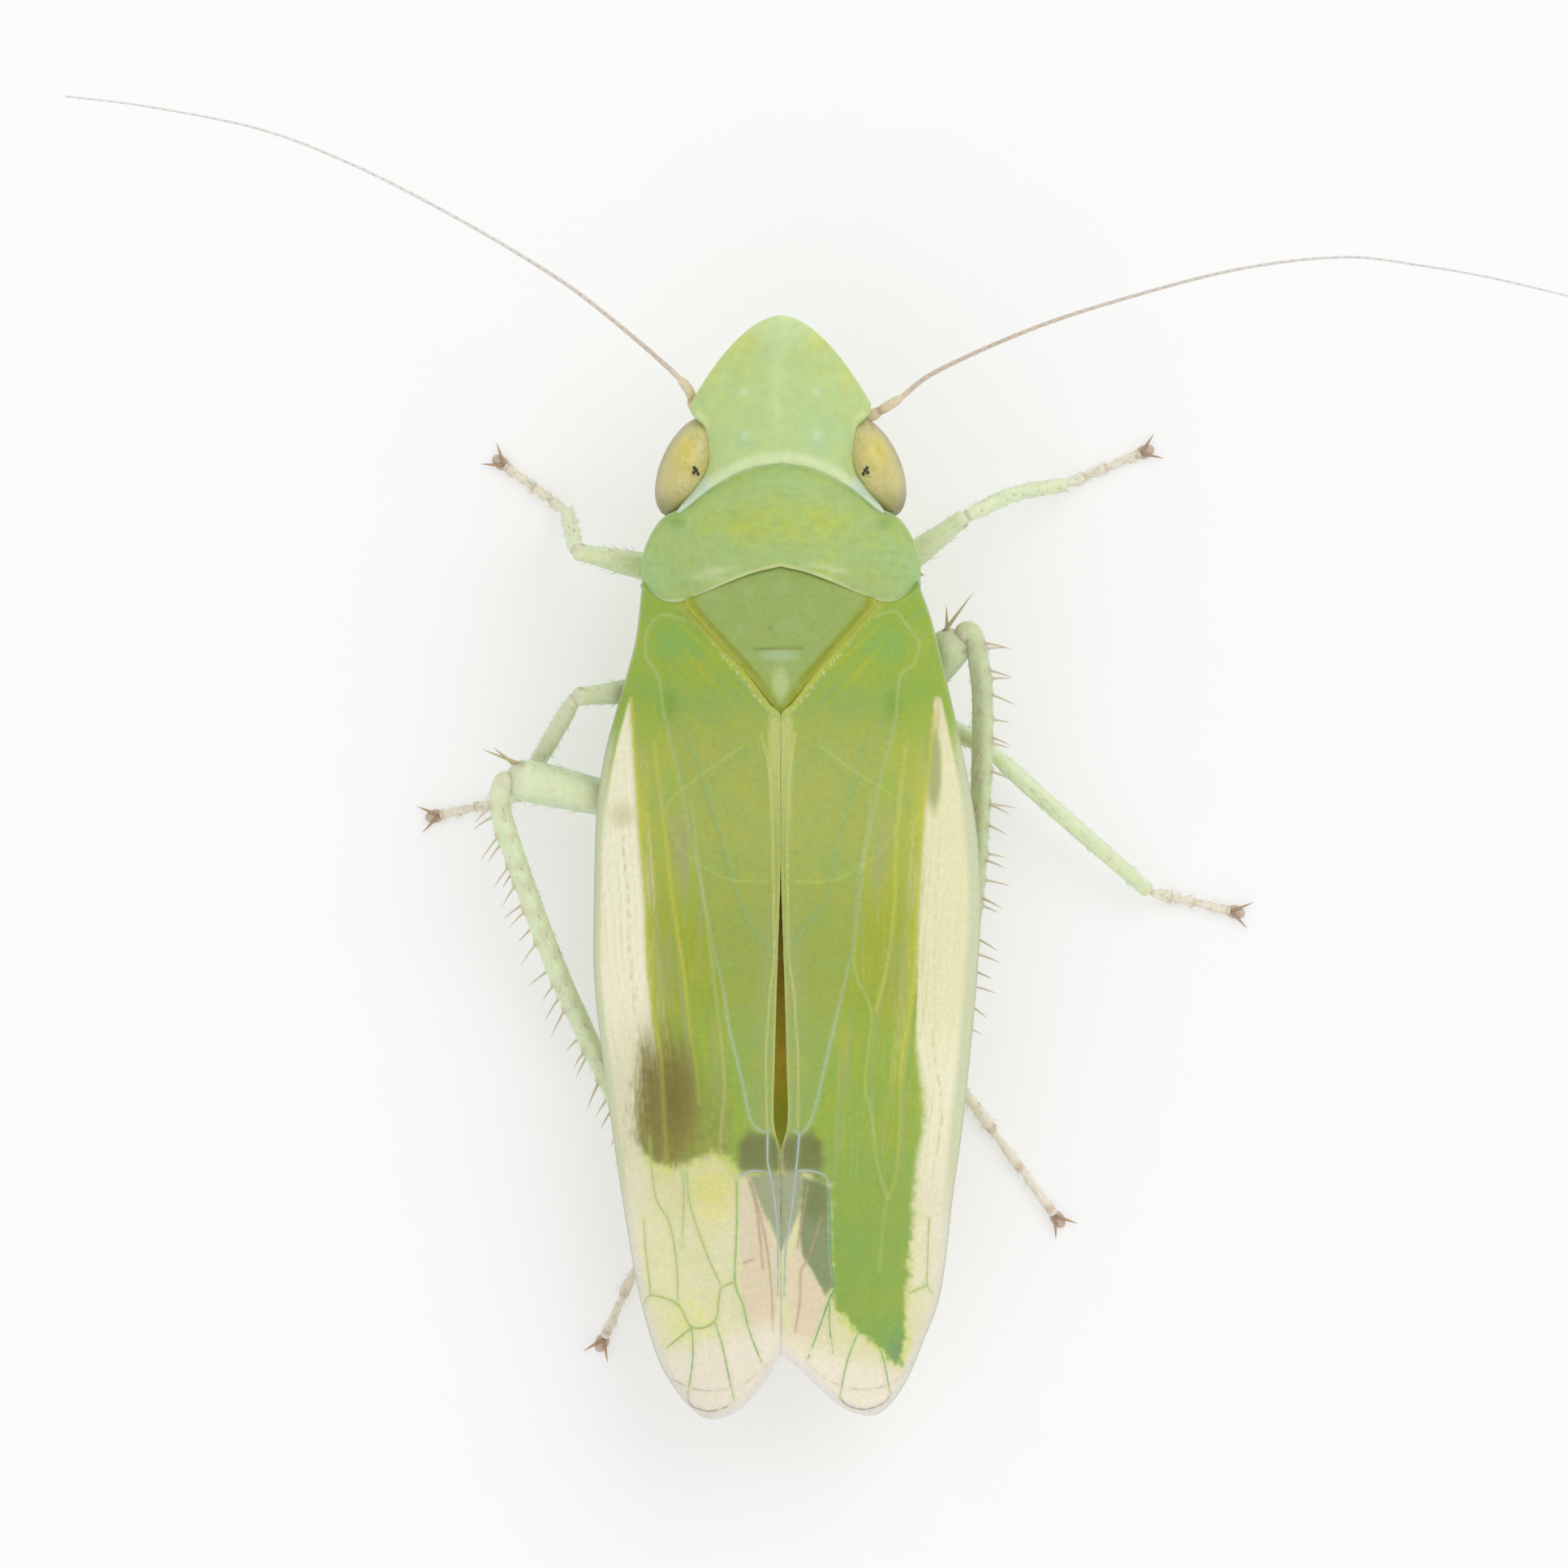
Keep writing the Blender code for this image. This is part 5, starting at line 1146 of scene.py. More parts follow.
def ridge_on_wing(side, number, way, radius):
    """One slender vein that follows the wing's upper face, tapering to its end."""
    flat = evenly(curve_through(way, 8), 40)
    height = wing_height(side, flat[:, 0], flat[:, 1]) - 0.0015
    route = np.column_stack([SIGN[side] * flat[:, 0], flat[:, 1], height])

    def size(share, _):
        return radius * (1 - 0.35 * smooth(share, 0.6, 1.0)) * (1 + 0.10 * np.sin(share * 37 + number))

    piece, share, _, _ = limb(f"ridge_{side}_{number}", route, size, RIDGE_SIDES, (48,), 0.0)
    return piece, share


def make_fine_veins(side):
    """The apex's slender veins and the creases of its clear windows, joined into one mesh."""
    ridges, shades = [], []
    ways = [(VEINS[side][name], *style) for name, style in FINE_VEINS.items() if name in VEINS[side]]
    ways += [(way, "crease", CREASE_RADIUS) for way in FOLDS[side]]
    for number, (way, tone, radius) in enumerate(ways):
        piece, share = ridge_on_wing(side, number, way, radius)
        shade = first_coat(len(share), tone)
        place = points_of(piece)
        if tone in ("vein_lime", "vein_green"):
            lay(shade, "vein_teal", smooth(place[:, 1], 2.65, 2.95) * 0.5)
            lay(shade, "leaf_dark", cloud(place, 0.05, 49) * 0.12)
        ridges.append(piece)
        shades.append(shade)
    bpy.ops.object.select_all(action="DESELECT")
    for piece in ridges:
        piece.select_set(True)
    bpy.context.view_layer.objects.active = ridges[0]
    bpy.ops.object.join()
    ridges[0].name = f"fine_veins_{side}"
    ridges[0].data.name = f"fine_veins_{side}"
    finish_piece(ridges[0], np.vstack(shades), LOOKS["wing"], [f"forewing_{side}"])


def make_wing(side):
    piece = blanket(f"wing_{side}", *WING_MESH, wing_place(side), WING_DEPTH)
    coat = paint_wing(side, points_of(piece))
    finish_piece(piece, coat, LOOKS["wing"], [f"forewing_{side}"])


# Hindwings

hindwing_out = profile((-0.30, 0.30), (-0.05, 0.50), (0.5, 0.60), (1.2, 0.62), (1.9, 0.58), (2.4, 0.46),
                       (2.66, 0.30), (2.74, 0.16))
hindwing_in = profile((-0.30, 0.25), (0.0, 0.06), (0.5, 0.045), (1.2, 0.055), (1.9, 0.055), (2.3, 0.03),
                      (2.5, 0.03), (2.74, 0.10))
HINDWING_VEINS = (0.22, 0.45, 0.68, 0.90)
FILM_MESH = (60, 160)
FILM_DEPTH = 0.012
FILM_DROP = 0.088
FILM_FRONT, FILM_LENGTH = -0.30, 3.03
FILM_FOLDS = 5


def make_hindwing(side):
    """A thin film folded lengthwise under the forewing."""

    def place(across, along):
        y = FILM_FRONT + FILM_LENGTH * (1 - (1 - along) ** 1.3)
        inner, outer = hindwing_in(y), hindwing_out(y)
        out = inner + (outer - inner) * across
        z = wing_height(side, out, y) - FILM_DROP
        z += 0.008 * np.sin(across * math.pi * FILM_FOLDS + y) * smooth(y, -0.2, 0.4)
        for vein in HINDWING_VEINS:
            z += 0.006 * bell(across - vein, 0.014)
        return np.column_stack([SIGN[side] * out, y, z])

    piece = blanket(f"hind_film_{side}", *FILM_MESH, place, FILM_DEPTH)
    points = points_of(piece)
    coat = first_coat(len(points), "film")
    inner, outer = hindwing_in(points[:, 1]), hindwing_out(points[:, 1])
    across = (np.abs(points[:, 0]) - inner) / (outer - inner)
    for vein in HINDWING_VEINS:
        lay(coat, "fold", bell(across - vein, 0.012) * 0.7)
    lay(coat, "vein_lime", cloud(points, 0.2, 30) * 0.3)
    finish_piece(piece, coat, LOOKS["film"], [f"hindwing_{side}"])


# Trunk: the thorax and the abdomen under one skin

TRUNK_FRONT, TRUNK_END = -1.27, 2.02
trunk_half = profile((-1.27, 0.36), (-1.1, 0.50), (-0.9, 0.565), (-0.5, 0.60), (-0.1, 0.60), (0.12, 0.565),
                     (0.6, 0.56), (1.1, 0.49), (1.5, 0.37), (1.8, 0.23), (1.95, 0.14), (2.02, 0.05))
trunk_high = profile((-1.27, 1.20), (-1.0, 1.28), (-0.6, 1.26), (-0.1, 1.17), (0.1, 1.09), (0.6, 1.06),
                     (1.1, 0.99), (1.5, 0.90), (1.8, 0.79), (2.02, 0.64))
trunk_low = profile((-1.27, 0.50), (-1.1, 0.38), (-0.8, 0.30), (-0.1, 0.32), (0.1, 0.32), (0.8, 0.34),
                    (1.4, 0.42), (1.8, 0.49), (2.02, 0.56))
RING_LENGTH = 0.23
FIRST_RING = 0.05
THORAX_SEAMS = (-0.78, -0.30)


def cover(out, y):
    """The highest that the trunk may reach under the collar and the wings."""
    front = collar_height(out, y) - 0.075
    behind = np.minimum(wing_height("left", out, y), wing_height("right", out, y)) - 0.118
    return np.where(y < -0.85, front, np.where(y > -0.70, behind, np.minimum(front, behind)))


def trunk_ring(share, angle):
    y = TRUNK_FRONT + (TRUNK_END - TRUNK_FRONT) * share
    half, high, low = trunk_half(y), trunk_high(y), trunk_low(y)
    ring = np.mod((y - FIRST_RING) / RING_LENGTH, 1.0)
    step = 0.016 * (smooth(ring, 0.0, 0.85) - smooth(ring, 0.93, 1.0)) * smooth(y, 0.0, 0.15)
    middle, tall = (high + low) / 2, (high - low) / 2 * (1 + step)
    square = 2.4 - 0.3 * smooth(y, -0.1, 0.2)
    c, s = np.cos(angle), np.sin(angle)
    x = half * (1 + step) * np.sign(c) * np.abs(c) ** (2 / square)
    z = middle + tall * np.sign(s) * np.abs(s) ** (2 / square)
    flank = smooth(np.abs(c), 0.75, 0.95)
    x *= 1 - 0.045 * flank * bell(z - 0.62, 0.03) * smooth(y, -0.2, 0.1)
    for seam in THORAX_SEAMS:
        x *= 1 - 0.03 * bell(y - seam + 0.25 * (z - 0.6), 0.02)
    z += 0.010 * grain(np.column_stack([x, y, z]), 0.12, 31) * smooth(-s, -0.2, 0.3)
    z = np.minimum(z, np.maximum(cover(np.abs(x), y), middle + 0.02))
    return np.column_stack([x, y, z])


def paint_trunk(points):
    y, z = points[:, 1], points[:, 2]
    coat = first_coat(len(points), "belly")
    lay(coat, "belly_fold", cloud(points, 0.12, 32) * 0.6)
    ring = np.mod((y - FIRST_RING) / RING_LENGTH, 1.0)
    seam = smooth(ring, 0.90, 0.97) + smooth(ring, 0.06, 0.0)
    lay(coat, "belly_fold", seam * smooth(y, FIRST_RING, 0.15) * 0.6)
    middle = (trunk_high(y) + trunk_low(y)) / 2
    back = smooth(z - middle, 0.02, 0.14) * smooth(y, -0.3, 0.1)
    lay(coat, "olive", back)
    lay(coat, "olive_green", back * smooth(y, 1.4, 1.8))
    lay(coat, "olive_deep", back * cloud(points, 0.07, 33) * 0.6)
    return coat


def make_trunk():
    piece, _, _ = round_form("trunk_skin", 96, (99, 1), trunk_ring)
    coat = paint_trunk(points_of(piece))
    finish_piece(piece, coat, LOOKS["cuticle"], ["thorax", "abdomen"])


# Beak

BEAK_ROUTE = [(0, -1.40, 0.50), (0, -1.22, 0.40), (0, -1.02, 0.30), (0, -0.88, 0.25)]
BEAK_JOINTS = (0.355, 0.675)


def make_beak():
    """Three joints from the face back between the front hips, with a groove along the top."""
    size = profile((0, 0.075), (0.34, 0.064), (0.36, 0.056), (0.40, 0.062), (0.66, 0.050), (0.68, 0.043),
                   (0.72, 0.046), (0.95, 0.030), (1, 0.022))

    def radius(share, angle):
        return size(share) * (1 - 0.10 * bell(angle - math.pi / 2, 0.25))

    piece, share, _, _ = limb("beak", BEAK_ROUTE, radius, 28, (60,))
    coat = first_coat(len(share), "face")
    lay(coat, "suture", sum(bell(share - joint, 0.012) for joint in BEAK_JOINTS))
    lay(coat, "condyle", smooth(share, 0.90, 0.99) * 0.9)
    finish_piece(piece, coat, LOOKS["cuticle"], ["rostrum"])


# Legs, each as the places of its joints

ANKLE_HEIGHT = 0.115
FOOT_RADIUS = 0.024
HEEL_SHARE = 0.28
HEEL_HEIGHT = 0.045
TOE_LIFT = 0.010
SOLE_HEIGHT = 0.0012
LEGS = {
    "front_left": {
        "hip": (0.27, -1.05, 0.47), "trochanter": (0.36, -0.86, 0.35), "knee": (0.985, -0.998, 0.76),
        "shin": [(1.008, -1.10, 0.46)], "ankle": (1.030, -1.188), "toe": (1.335, -1.418),
    },
    "front_right": {
        "hip": (-0.27, -1.05, 0.47), "trochanter": (-0.385, -0.785, 0.35), "knee": (-0.885, -1.163, 0.60),
        "shin": [(-1.122, -1.274, 0.37)], "ankle": (-1.376, -1.325), "toe": (-1.74, -1.475),
    },
    "middle_left": {
        "hip": (0.30, -0.50, 0.42), "trochanter": (0.38, -0.36, 0.34), "knee": (0.984, -0.298, 0.84),
        "shin": [(1.15, -0.02, 0.46)], "ankle": (1.272, 0.19), "toe": (1.65, 0.272),
    },
    "middle_right": {
        "hip": (-0.30, -0.50, 0.42), "trochanter": (-0.38, -0.34, 0.33), "knee": (-0.975, -0.07, 0.37),
        "shin": [(-1.33, 0.25, 0.27)], "ankle": (-1.785, 0.645), "toe": (-2.175, 0.735),
    },
    "hind_left": {
        "hip": (0.26, 0.00, 0.41), "trochanter": (0.37, 0.30, 0.34), "knee": (1.287, 0.088, 0.62),
        "shin": [(1.335, 0.125, 0.63), (1.350, 0.227, 0.585), (1.291, 0.435, 0.52), (1.102, 0.955, 0.38),
                 (0.901, 1.409, 0.27)],
        "ankle": (0.555, 2.14), "toe": (0.855, 2.80),
    },
    "hind_right": {
        "hip": (-0.26, -0.06, 0.41), "trochanter": (-0.38, -0.01, 0.34), "knee": (-0.850, -0.578, 0.72),
        "shin": [(-0.915, -0.605, 0.735), (-0.957, -0.44, 0.68), (-0.972, -0.214, 0.60),
                 (-0.959, 0.253, 0.47), (-0.924, 0.721, 0.34), (-0.857, 1.189, 0.21)],
        "ankle": (-0.791, 1.477), "toe": (-1.325, 2.205),
    },
}
coxa_size = profile((0, 0.115), (0.6, 0.095), (0.9, 0.066), (1, 0.062))
FEMUR_SIZES = {
    "front": profile((0, 0.046), (0.12, 0.052), (0.5, 0.070), (0.9, 0.048), (1, 0.050)),
    "middle": profile((0, 0.048), (0.12, 0.054), (0.5, 0.068), (0.9, 0.049), (1, 0.051)),
    "hind": profile((0, 0.062), (0.12, 0.070), (0.5, 0.094), (0.85, 0.110), (1, 0.106)),
}
TIBIA_SIZES = {
    "front": profile((0, 0.034), (0.08, 0.031), (0.15, 0.036), (0.8, 0.035), (1, 0.034)),
    "middle": profile((0, 0.038), (0.08, 0.034), (0.15, 0.041), (0.8, 0.038), (1, 0.036)),
    "hind": profile((0, 0.056), (0.06, 0.050), (0.12, 0.050), (0.8, 0.046), (1, 0.042)),
}
FEMUR_RISE = {"middle_right": -0.03, "hind_left": 0.0}
PLAIN_RISE = 0.04
HIP_RING = 0.80
KNEE_OVERRUN = 0.30
# Painted shade laid evenly over a whole leg: the leg, its shade tone and strength
PAINTED_SHADE_LEGS = {"hind_right": ("leg_shade_deep", 0.55), "middle_left": ("leg_shade_grey", 0.35)}
TARSUS_JOINTS = {"front": (0.30, 0.58), "middle": (0.30, 0.58), "hind": (0.45, 0.70)}
SPINES_IN_ROW = 12
MORE_FINE_SPINES = 4
SPINE_LENGTH = 0.15
SPINE_LENGTHS = (0.70, 1.15)
FINE_SPINE_SHARE = 0.42
SPINE_UNEVEN = 0.28
# Long and fine spines: the spine's radius, the width and height of its knob, the strength of its stain
LONG_SPINE = (0.0082, 0.020, 0.011, 0.85)
FINE_SPINE = (0.0050, 0.012, 0.004, 0.4)
SPINE_LEAN = {"hind_left": (0.25, 0.65), "hind_right": (0.05, 0.35)}
ROW_LIFTS = (0.45, -0.35)
FINE_ROW_LIFTS = (1.9, -1.7)
KNEE_THORNS = {
    "hind_left": [((1.28, 0.015, 0.645), (1.438, -0.047, 0.70)), ((1.29, 0.02, 0.60), (1.39, -0.06, 0.57))],
    "hind_right": [((-0.815, -0.650, 0.75), (-0.928, -0.803, 0.80)),
                   ((-0.800, -0.635, 0.70), (-0.797, -0.742, 0.69))],
}
KNOB_STAIN = 0.022
SPINE_ROOT = 0.7
THORN_ROOT = 0.35
SPINE_FORM = thorn(8, 5, 0.10)
THORN_RADIUS = 0.0115
HAIR_FORM = thorn(3, 2, 0.18)
HAIR_CLEARANCE = 0.003
HAIR_RADIUS = 0.0020
HAIR_LENGTHS = (0.028, 0.055)
HAIR_LEAN = (0.8, 1.6)
THIGH_HAIRS = {"front": 70, "middle": 70, "hind": 110}
SHIN_HAIRS = {"front": 110, "middle": 110, "hind": 260}
FOOT_HAIRS = 60


def leg_coat(points, name):
    coat = first_coat(len(points), "leg")
    lay(coat, "leg_blue", cloud(points, 0.10, 41) * 0.6)
    lay(coat, "leg_warm", cloud(points, 0.08, 42) * 0.5)
    # Painted shade: a listed leg is darkened all over
    if name in PAINTED_SHADE_LEGS:
        tone, strength = PAINTED_SHADE_LEGS[name]
        lay(coat, tone, np.full(len(points), strength))
    return coat


def make_coxa(name, leg):
    def radius(share, _):
        return coxa_size(share) * (1 - 0.10 * bell(share - HIP_RING, 0.03))

    piece, share, _, _ = limb(f"hip_{name}", [leg["hip"], leg["trochanter"]], radius, 32, (50,))
    coat = leg_coat(points_of(piece), name)
    lay(coat, "knee", bell(share - HIP_RING, 0.03) * 0.6)
    finish_piece(piece, coat, LOOKS["leg"], [f"coxa_{name}"])


def make_femur(name, leg, draw):
    pair = name.split("_")[0]
    size = FEMUR_SIZES[pair]
    start, end = np.array(leg["trochanter"]), np.array(leg["knee"])
    middle = (start + end) / 2 + (0, 0, FEMUR_RISE.get(name, PLAIN_RISE))
    end += (end - start) / np.linalg.norm(end - start) * KNEE_OVERRUN * size(1)

    def radius(share, angle):
        sides = np.abs(np.cos(angle))
        knee = smooth(share, 0.93, 0.975)
        flat = 1 - 0.10 * sides * (1 - knee)
        cleft = 1 - 0.12 * knee * bell(angle + math.pi / 2, 0.5)
        neck = 1 - 0.12 * bell(share - 0.055, 0.02)
        keel = 1 + 0.03 * np.cos(6 * angle) * smooth(share, 0.1, 0.3) * smooth(share, 0.95, 0.8)
        return size(share) * flat * cleft * neck * keel

    piece, share, angle, route = limb(f"thigh_{name}", [start, middle, end], radius, 40, (99,))
    coat = leg_coat(points_of(piece), name)
    lay(coat, "knee", smooth(share, 0.93, 0.99) * 0.45)
    lay(coat, "leg_blue", np.abs(np.cos(angle)) ** 3 * 0.45)
    spot = bell(share - 0.955, 0.018) * bell(np.abs(angle) - 0.5, 0.35)
    lay(coat, "condyle", spot * 0.55)
    finish_piece(piece, coat, LOOKS["leg"], [f"femur_{name}"])
    if pair == "hind":
        stems, homes = [], []
        for root, tip in KNEE_THORNS[name]:
            way = np.array(tip) - np.array(root)
            length = np.linalg.norm(way) * (1 + THORN_ROOT)
            stems.append((root - THORN_ROOT * way, way, (0, 0, -1), length, THORN_RADIUS, "thorn_brown"))
            homes.append((0.25 + 0.5 * len(homes), 0.97))
        thorns, coat, share = planted(f"knee_thorns_{name}", SPINE_FORM, stems, homes)
        lay(coat, "foot_deep", smooth(share, 0.7, 1.0) * 0.5)
        finish_piece(thorns, coat, LOOKS["horn"], [f"femur_{name}"])
    hairs_on(f"thigh_hairs_{name}", f"femur_{name}", route, size, draw, THIGH_HAIRS[pair], (0.10, 0.93))


def hairs_on(name, node, route, size, draw, count, span):
    """Short fine hairs that lean towards the foot."""
    stems, homes = [], []
    for _ in range(count):
        share, angle = draw.uniform(*span), draw.uniform(-math.pi, math.pi)
        at, turn = np.array([share]), np.array([angle])
        root, out = route.skin(at, turn, size(at) * 0.93)
        along = route.at(at, route.ways[0])[0]
        way = out[0] + along * draw.uniform(*HAIR_LEAN)
        length = draw.uniform(*HAIR_LENGTHS)
        if root[0][2] + length * way[2] / np.linalg.norm(way) < HAIR_CLEARANCE:
            continue
        stems.append((root[0], way, -out[0], length, HAIR_RADIUS, "hair"))
        homes.append((angle / (2 * math.pi) + 0.5, share))
    hairs, coat, _ = planted(name, HAIR_FORM, stems, homes)
    finish_piece(hairs, coat, LOOKS["horn"], [node])


def spine_places(name, route, draw):
    """Where a hind shin's spines stand: share of the shin, way out, way down, lean, length and kind."""
    side = SIGN[name.split("_")[1]]
    places = []
    for row, lift in enumerate(ROW_LIFTS + FINE_ROW_LIFTS):
        fine = row > 1
        count = SPINES_IN_ROW + (MORE_FINE_SPINES if fine else 0)
        for k in range(count):
            step = (k + 0.5 * (row % 2) + draw.uniform(-SPINE_UNEVEN, SPINE_UNEVEN)) / count
            share = 0.06 + 0.87 * max(step, 0.0) ** 1.08
            at = np.array([share])
            along = route.at(at, route.ways[0])[0]
            outwards = np.array((side, 0, 0)) - along * along[0] * side
            outwards /= np.linalg.norm(outwards)
            up = np.cross(along, outwards) * (1 if np.cross(along, outwards)[2] > 0 else -1)
            way = outwards * math.cos(lift) + up * math.sin(lift) if fine else outwards + up * lift
            lean = draw.uniform(*SPINE_LEAN[name]) + (0.5 if fine else 0)
            length = SPINE_LENGTH * draw.uniform(*SPINE_LENGTHS) * (FINE_SPINE_SHARE if fine else 1.0)
            kind = FINE_SPINE if fine else LONG_SPINE
            places.append((share, way / np.linalg.norm(way), along, lean, length, kind))
    return places


def make_tibia(name, leg, ankle, draw):
    pair = name.split("_")[0]
    size = TIBIA_SIZES[pair]
    knots = [leg["knee"], *leg["shin"], tuple(ankle)]
    plain = Route(knots, 8)
    spines = spine_places(name, plain, draw) if pair == "hind" else []

    def radius(share, angle):
        keel = 1 + 0.07 * np.cos(4 * (angle - 0.4)) * smooth(share, 0.02, 0.10)
        swell = 1 + 0.16 * smooth(share, 0.965, 0.99)
        return size(share) * keel * swell

    piece, share, angle, route = limb(f"shin_{name}", knots, radius, 32, (99, 2) if pair == "hind" else (80,))
    points = points_of(piece)
    for at, way, _, _, _, (_, width, rise, _) in spines:
        foot = route.at(np.array([at]))[0] + way * size(at)
        points += bell(np.linalg.norm(points - foot, axis=1), width)[:, None] * way * rise
    move_points(piece, points)
    coat = leg_coat(points, name)
    lay(coat, "leg_blue", np.abs(np.cos(angle)) ** 2 * 0.35)
    lay(coat, "knee", smooth(share, 0.05, 0.0) * 0.7 + smooth(share, 0.95, 0.995) * 0.7)
    for at, way, _, _, _, (_, _, _, strength) in spines:
        foot = route.at(np.array([at]))[0] + way * size(at)
        lay(coat, "spine_base", bell(np.linalg.norm(points - foot, axis=1), KNOB_STAIN) * strength)
    finish_piece(piece, coat, LOOKS["leg"], [f"tibia_{name}"])
    if spines:
        stems = [(route.at(np.array([at]))[0] + way * size(at) * SPINE_ROOT, way + along * lean, -way, length,
                  kind[0], "spine") for at, way, along, lean, length, kind in spines]
        homes = [(0.1 + 0.8 * i / len(stems), stem[0]) for i, stem in enumerate(spines)]
        thorns, coat, share = planted(f"shin_spines_{name}", SPINE_FORM, stems, homes)
        lay(coat, "beige_deep", smooth(share, 0.35, 1.0) * 0.5)
        finish_piece(thorns, coat, LOOKS["horn"], [f"tibia_{name}"])
    hairs_on(f"shin_hairs_{name}", f"tibia_{name}", route, size, draw, SHIN_HAIRS[pair], (0.04, 0.98))


def make_foot(name, leg, ankle, draw):
    first, second = TARSUS_JOINTS[name.split("_")[0]]
    toe = np.array((*leg["toe"], FOOT_RADIUS))
    flat_way = np.array((toe[0] - ankle[0], toe[1] - ankle[1], 0))
    heel = ankle + HEEL_SHARE * flat_way
    heel[2] = HEEL_HEIGHT
    size = profile((0, 0.018), (0.06, 0.020), (first - 0.03, 0.027), (first + 0.012, 0.016),
                   (first + 0.05, 0.019), (second - 0.03, 0.025), (second + 0.012, 0.015),
                   (second + 0.05, 0.018), (0.92, 0.023), (1, 0.022))
    route = [ankle, heel, toe + (0, 0, TOE_LIFT)]
    piece, share, _, route = limb(f"foot_{name}", route, lambda share, _: size(share), 24, (99,))
    points = points_of(piece)
    points[:, 2] = np.maximum(points[:, 2], SOLE_HEIGHT)
    move_points(piece, points)
    coat = first_coat(len(points), "foot")
    lay(coat, "leg", smooth(share, 0.5, 0.1) * 0.45)
    for ring in (first, second, 0.97):
        lay(coat, "foot_deep", bell(share - ring + 0.015, 0.022) * 0.7)
    lay(coat, "foot_deep", cloud(points, 0.04, 45) * 0.3)
    finish_piece(piece, coat, LOOKS["foot"], [f"tarsus_{name}"])
    make_claws(name, toe, flat_way / np.linalg.norm(flat_way))
    hairs_on(f"foot_hairs_{name}", f"tarsus_{name}", route, size, draw, FOOT_HAIRS, (0.05, 0.93))


CLAW_FORM = thorn(10, 8, 0.28)
CLAW_SPREAD = 0.6
CLAW_RISE = 0.012
CLAW_LENGTH = 0.115
CLAW_RADIUS = 0.0115
PAD_RADII = (0.034, 0.044, 0.022)
PAD_FORWARDS = 0.02


def make_claws(name, toe, forwards):
    """Two curved claws over a soft pad that stands on the floor."""
    sideways = np.array((-forwards[1], forwards[0], 0))
    stems = []
    for spread in (-CLAW_SPREAD, CLAW_SPREAD):
        way = forwards * math.cos(spread) + sideways * math.sin(spread)
        root = toe + (0, 0, CLAW_RISE)
        stems.append((root, way + (0, 0, 0.12), (0, 0, -1), CLAW_LENGTH, CLAW_RADIUS, "claw"))
    claws, coat, share = planted(f"claws_{name}", CLAW_FORM, stems, [(0.3, 1.0), (0.7, 1.0)])
    lay(coat, "beige_deep", smooth(share, 0.3, 0.0) * 0.7)
    finish_piece(claws, coat, LOOKS["horn"], [f"tarsus_{name}"])
    pad = fresh(bpy.ops.mesh.primitive_uv_sphere_add, f"pad_{name}", segments=28, ring_count=18, radius=1)
    ball = points_of(pad)
    lobes = 1 + 0.10 * np.cos(2 * np.arctan2(ball[:, 0], ball[:, 1])) * (ball[:, 1] > 0)
    flat = np.array(ball) * PAD_RADII * np.column_stack([lobes, lobes, np.ones(len(ball))])
    placed = np.outer(flat[:, 0], sideways) + np.outer(flat[:, 1], forwards) + toe + forwards * PAD_FORWARDS
    placed[:, 2] = np.maximum(flat[:, 2] + PAD_RADII[2] * 0.8, 0.0)
    placed[:, 2] += 0.0015 * grain(placed, 0.012, 46) * (placed[:, 2] > 0.004)
    move_points(pad, placed)
    coat = first_coat(len(placed), "pad")
    lay(coat, "foot_deep", cloud(placed, 0.02, 47) * 0.5)
    finish_piece(pad, coat, LOOKS["foot"], [f"tarsus_{name}"])


def make_leg(name, draw):
    leg = LEGS[name]
    ankle = np.array((*leg["ankle"], ANKLE_HEIGHT))
    make_coxa(name, leg)
    make_femur(name, leg, draw)
    make_tibia(name, leg, ankle, draw)
    make_foot(name, leg, ankle, draw)


# Floor, light and camera

FLOOR_HALF = 150.0
FLOOR_SHADE = 0.60
FLOOR_GLOW = 0.385
FLOOR_UNEVEN = 0.004
FIBRE_SCALE = 900
SKY_STRENGTH = 0.72
# Each lamp's name, turn in degrees, strength and width in degrees
LAMPS = [("key", (28, -30, 0), 0.70, 50), ("fill", (-35, 25, 0), 0.35, 70)]


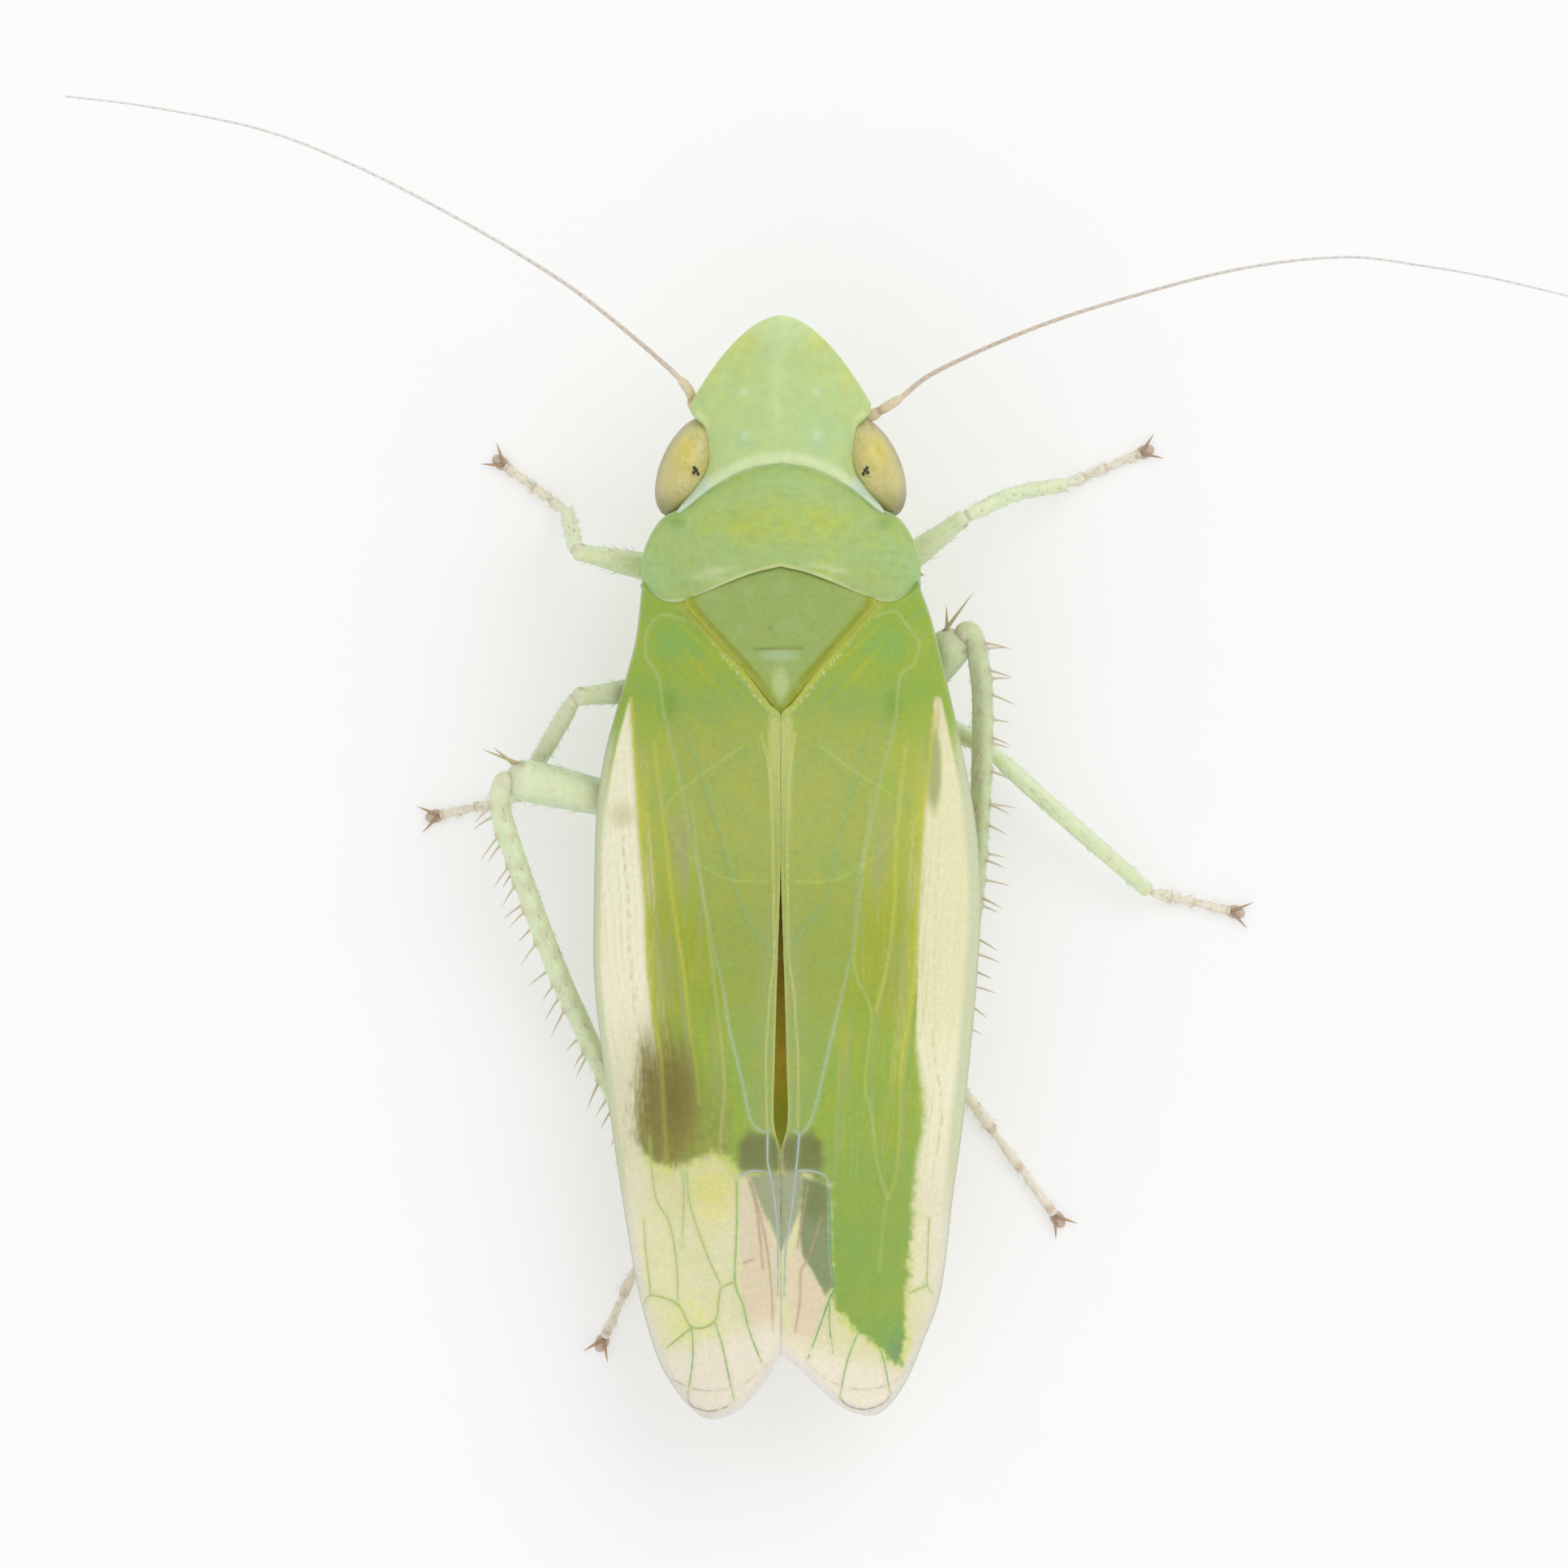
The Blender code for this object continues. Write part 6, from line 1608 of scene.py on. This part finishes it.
def make_stage():
    floor = fresh(bpy.ops.mesh.primitive_plane_add, "floor", size=2 * FLOOR_HALF * MM)
    paper = bpy.data.materials.new("studio_paper")
    paper.use_nodes = True
    nodes, links = paper.node_tree.nodes, paper.node_tree.links
    shader = nodes["Principled BSDF"]
    fibre = nodes.new("ShaderNodeTexNoise")
    fibre.inputs["Scale"].default_value = FIBRE_SCALE
    shade = nodes.new("ShaderNodeMapRange")
    shade.inputs["To Min"].default_value = FLOOR_SHADE - FLOOR_UNEVEN
    shade.inputs["To Max"].default_value = FLOOR_SHADE + FLOOR_UNEVEN
    links.new(fibre.outputs["Fac"], shade.inputs["Value"])
    links.new(shade.outputs["Result"], shader.inputs["Base Color"])
    shader.inputs["Roughness"].default_value = 0.9
    shader.inputs["Specular IOR Level"].default_value = 0.1
    shader.inputs["Emission Color"].default_value = (1.0, 1.0, 1.0, 1)
    shader.inputs["Emission Strength"].default_value = FLOOR_GLOW
    floor.data.materials.append(paper)
    world = bpy.data.worlds.new("studio")
    world.use_nodes = True
    world.node_tree.nodes["Background"].inputs["Color"].default_value = (1.0, 1.0, 1.0, 1)
    world.node_tree.nodes["Background"].inputs["Strength"].default_value = SKY_STRENGTH
    bpy.context.scene.world = world
    for name, turn, strength, angle in LAMPS:
        bpy.ops.object.light_add(type="SUN", location=(0, 0, 0.05),
                                 rotation=[math.radians(part) for part in turn])
        sun = bpy.context.object
        sun.name = name
        sun.data.energy = strength
        sun.data.angle = math.radians(angle)
    bpy.context.scene.view_settings.view_transform = "Standard"


def make_camera():
    bpy.ops.object.camera_add(rotation=(0, 0, math.pi), location=(
        VIEW_CENTRE[0] * MM, VIEW_CENTRE[1] * MM, (VIEW_HEIGHT + CAMERA_DISTANCE) * MM))
    camera = bpy.context.object
    camera.name = "camera"
    camera.data.sensor_width = SENSOR
    camera.data.lens = SENSOR * CAMERA_DISTANCE / VIEW_WIDTH
    camera.data.clip_start = 0.001
    camera.data.clip_end = 10.0
    bpy.context.scene.camera = camera


def main():
    draw = random.Random(SEED)
    make_head()
    make_trunk()
    make_beak()
    make_collar()
    make_shield()
    for side in ("left", "right"):
        make_eye(side, draw)
        make_antenna(side)
        make_wing(side)
        make_fine_veins(side)
        make_hindwing(side)
    for name in LEGS:
        make_leg(name, draw)
    make_stage()
    make_camera()


main()
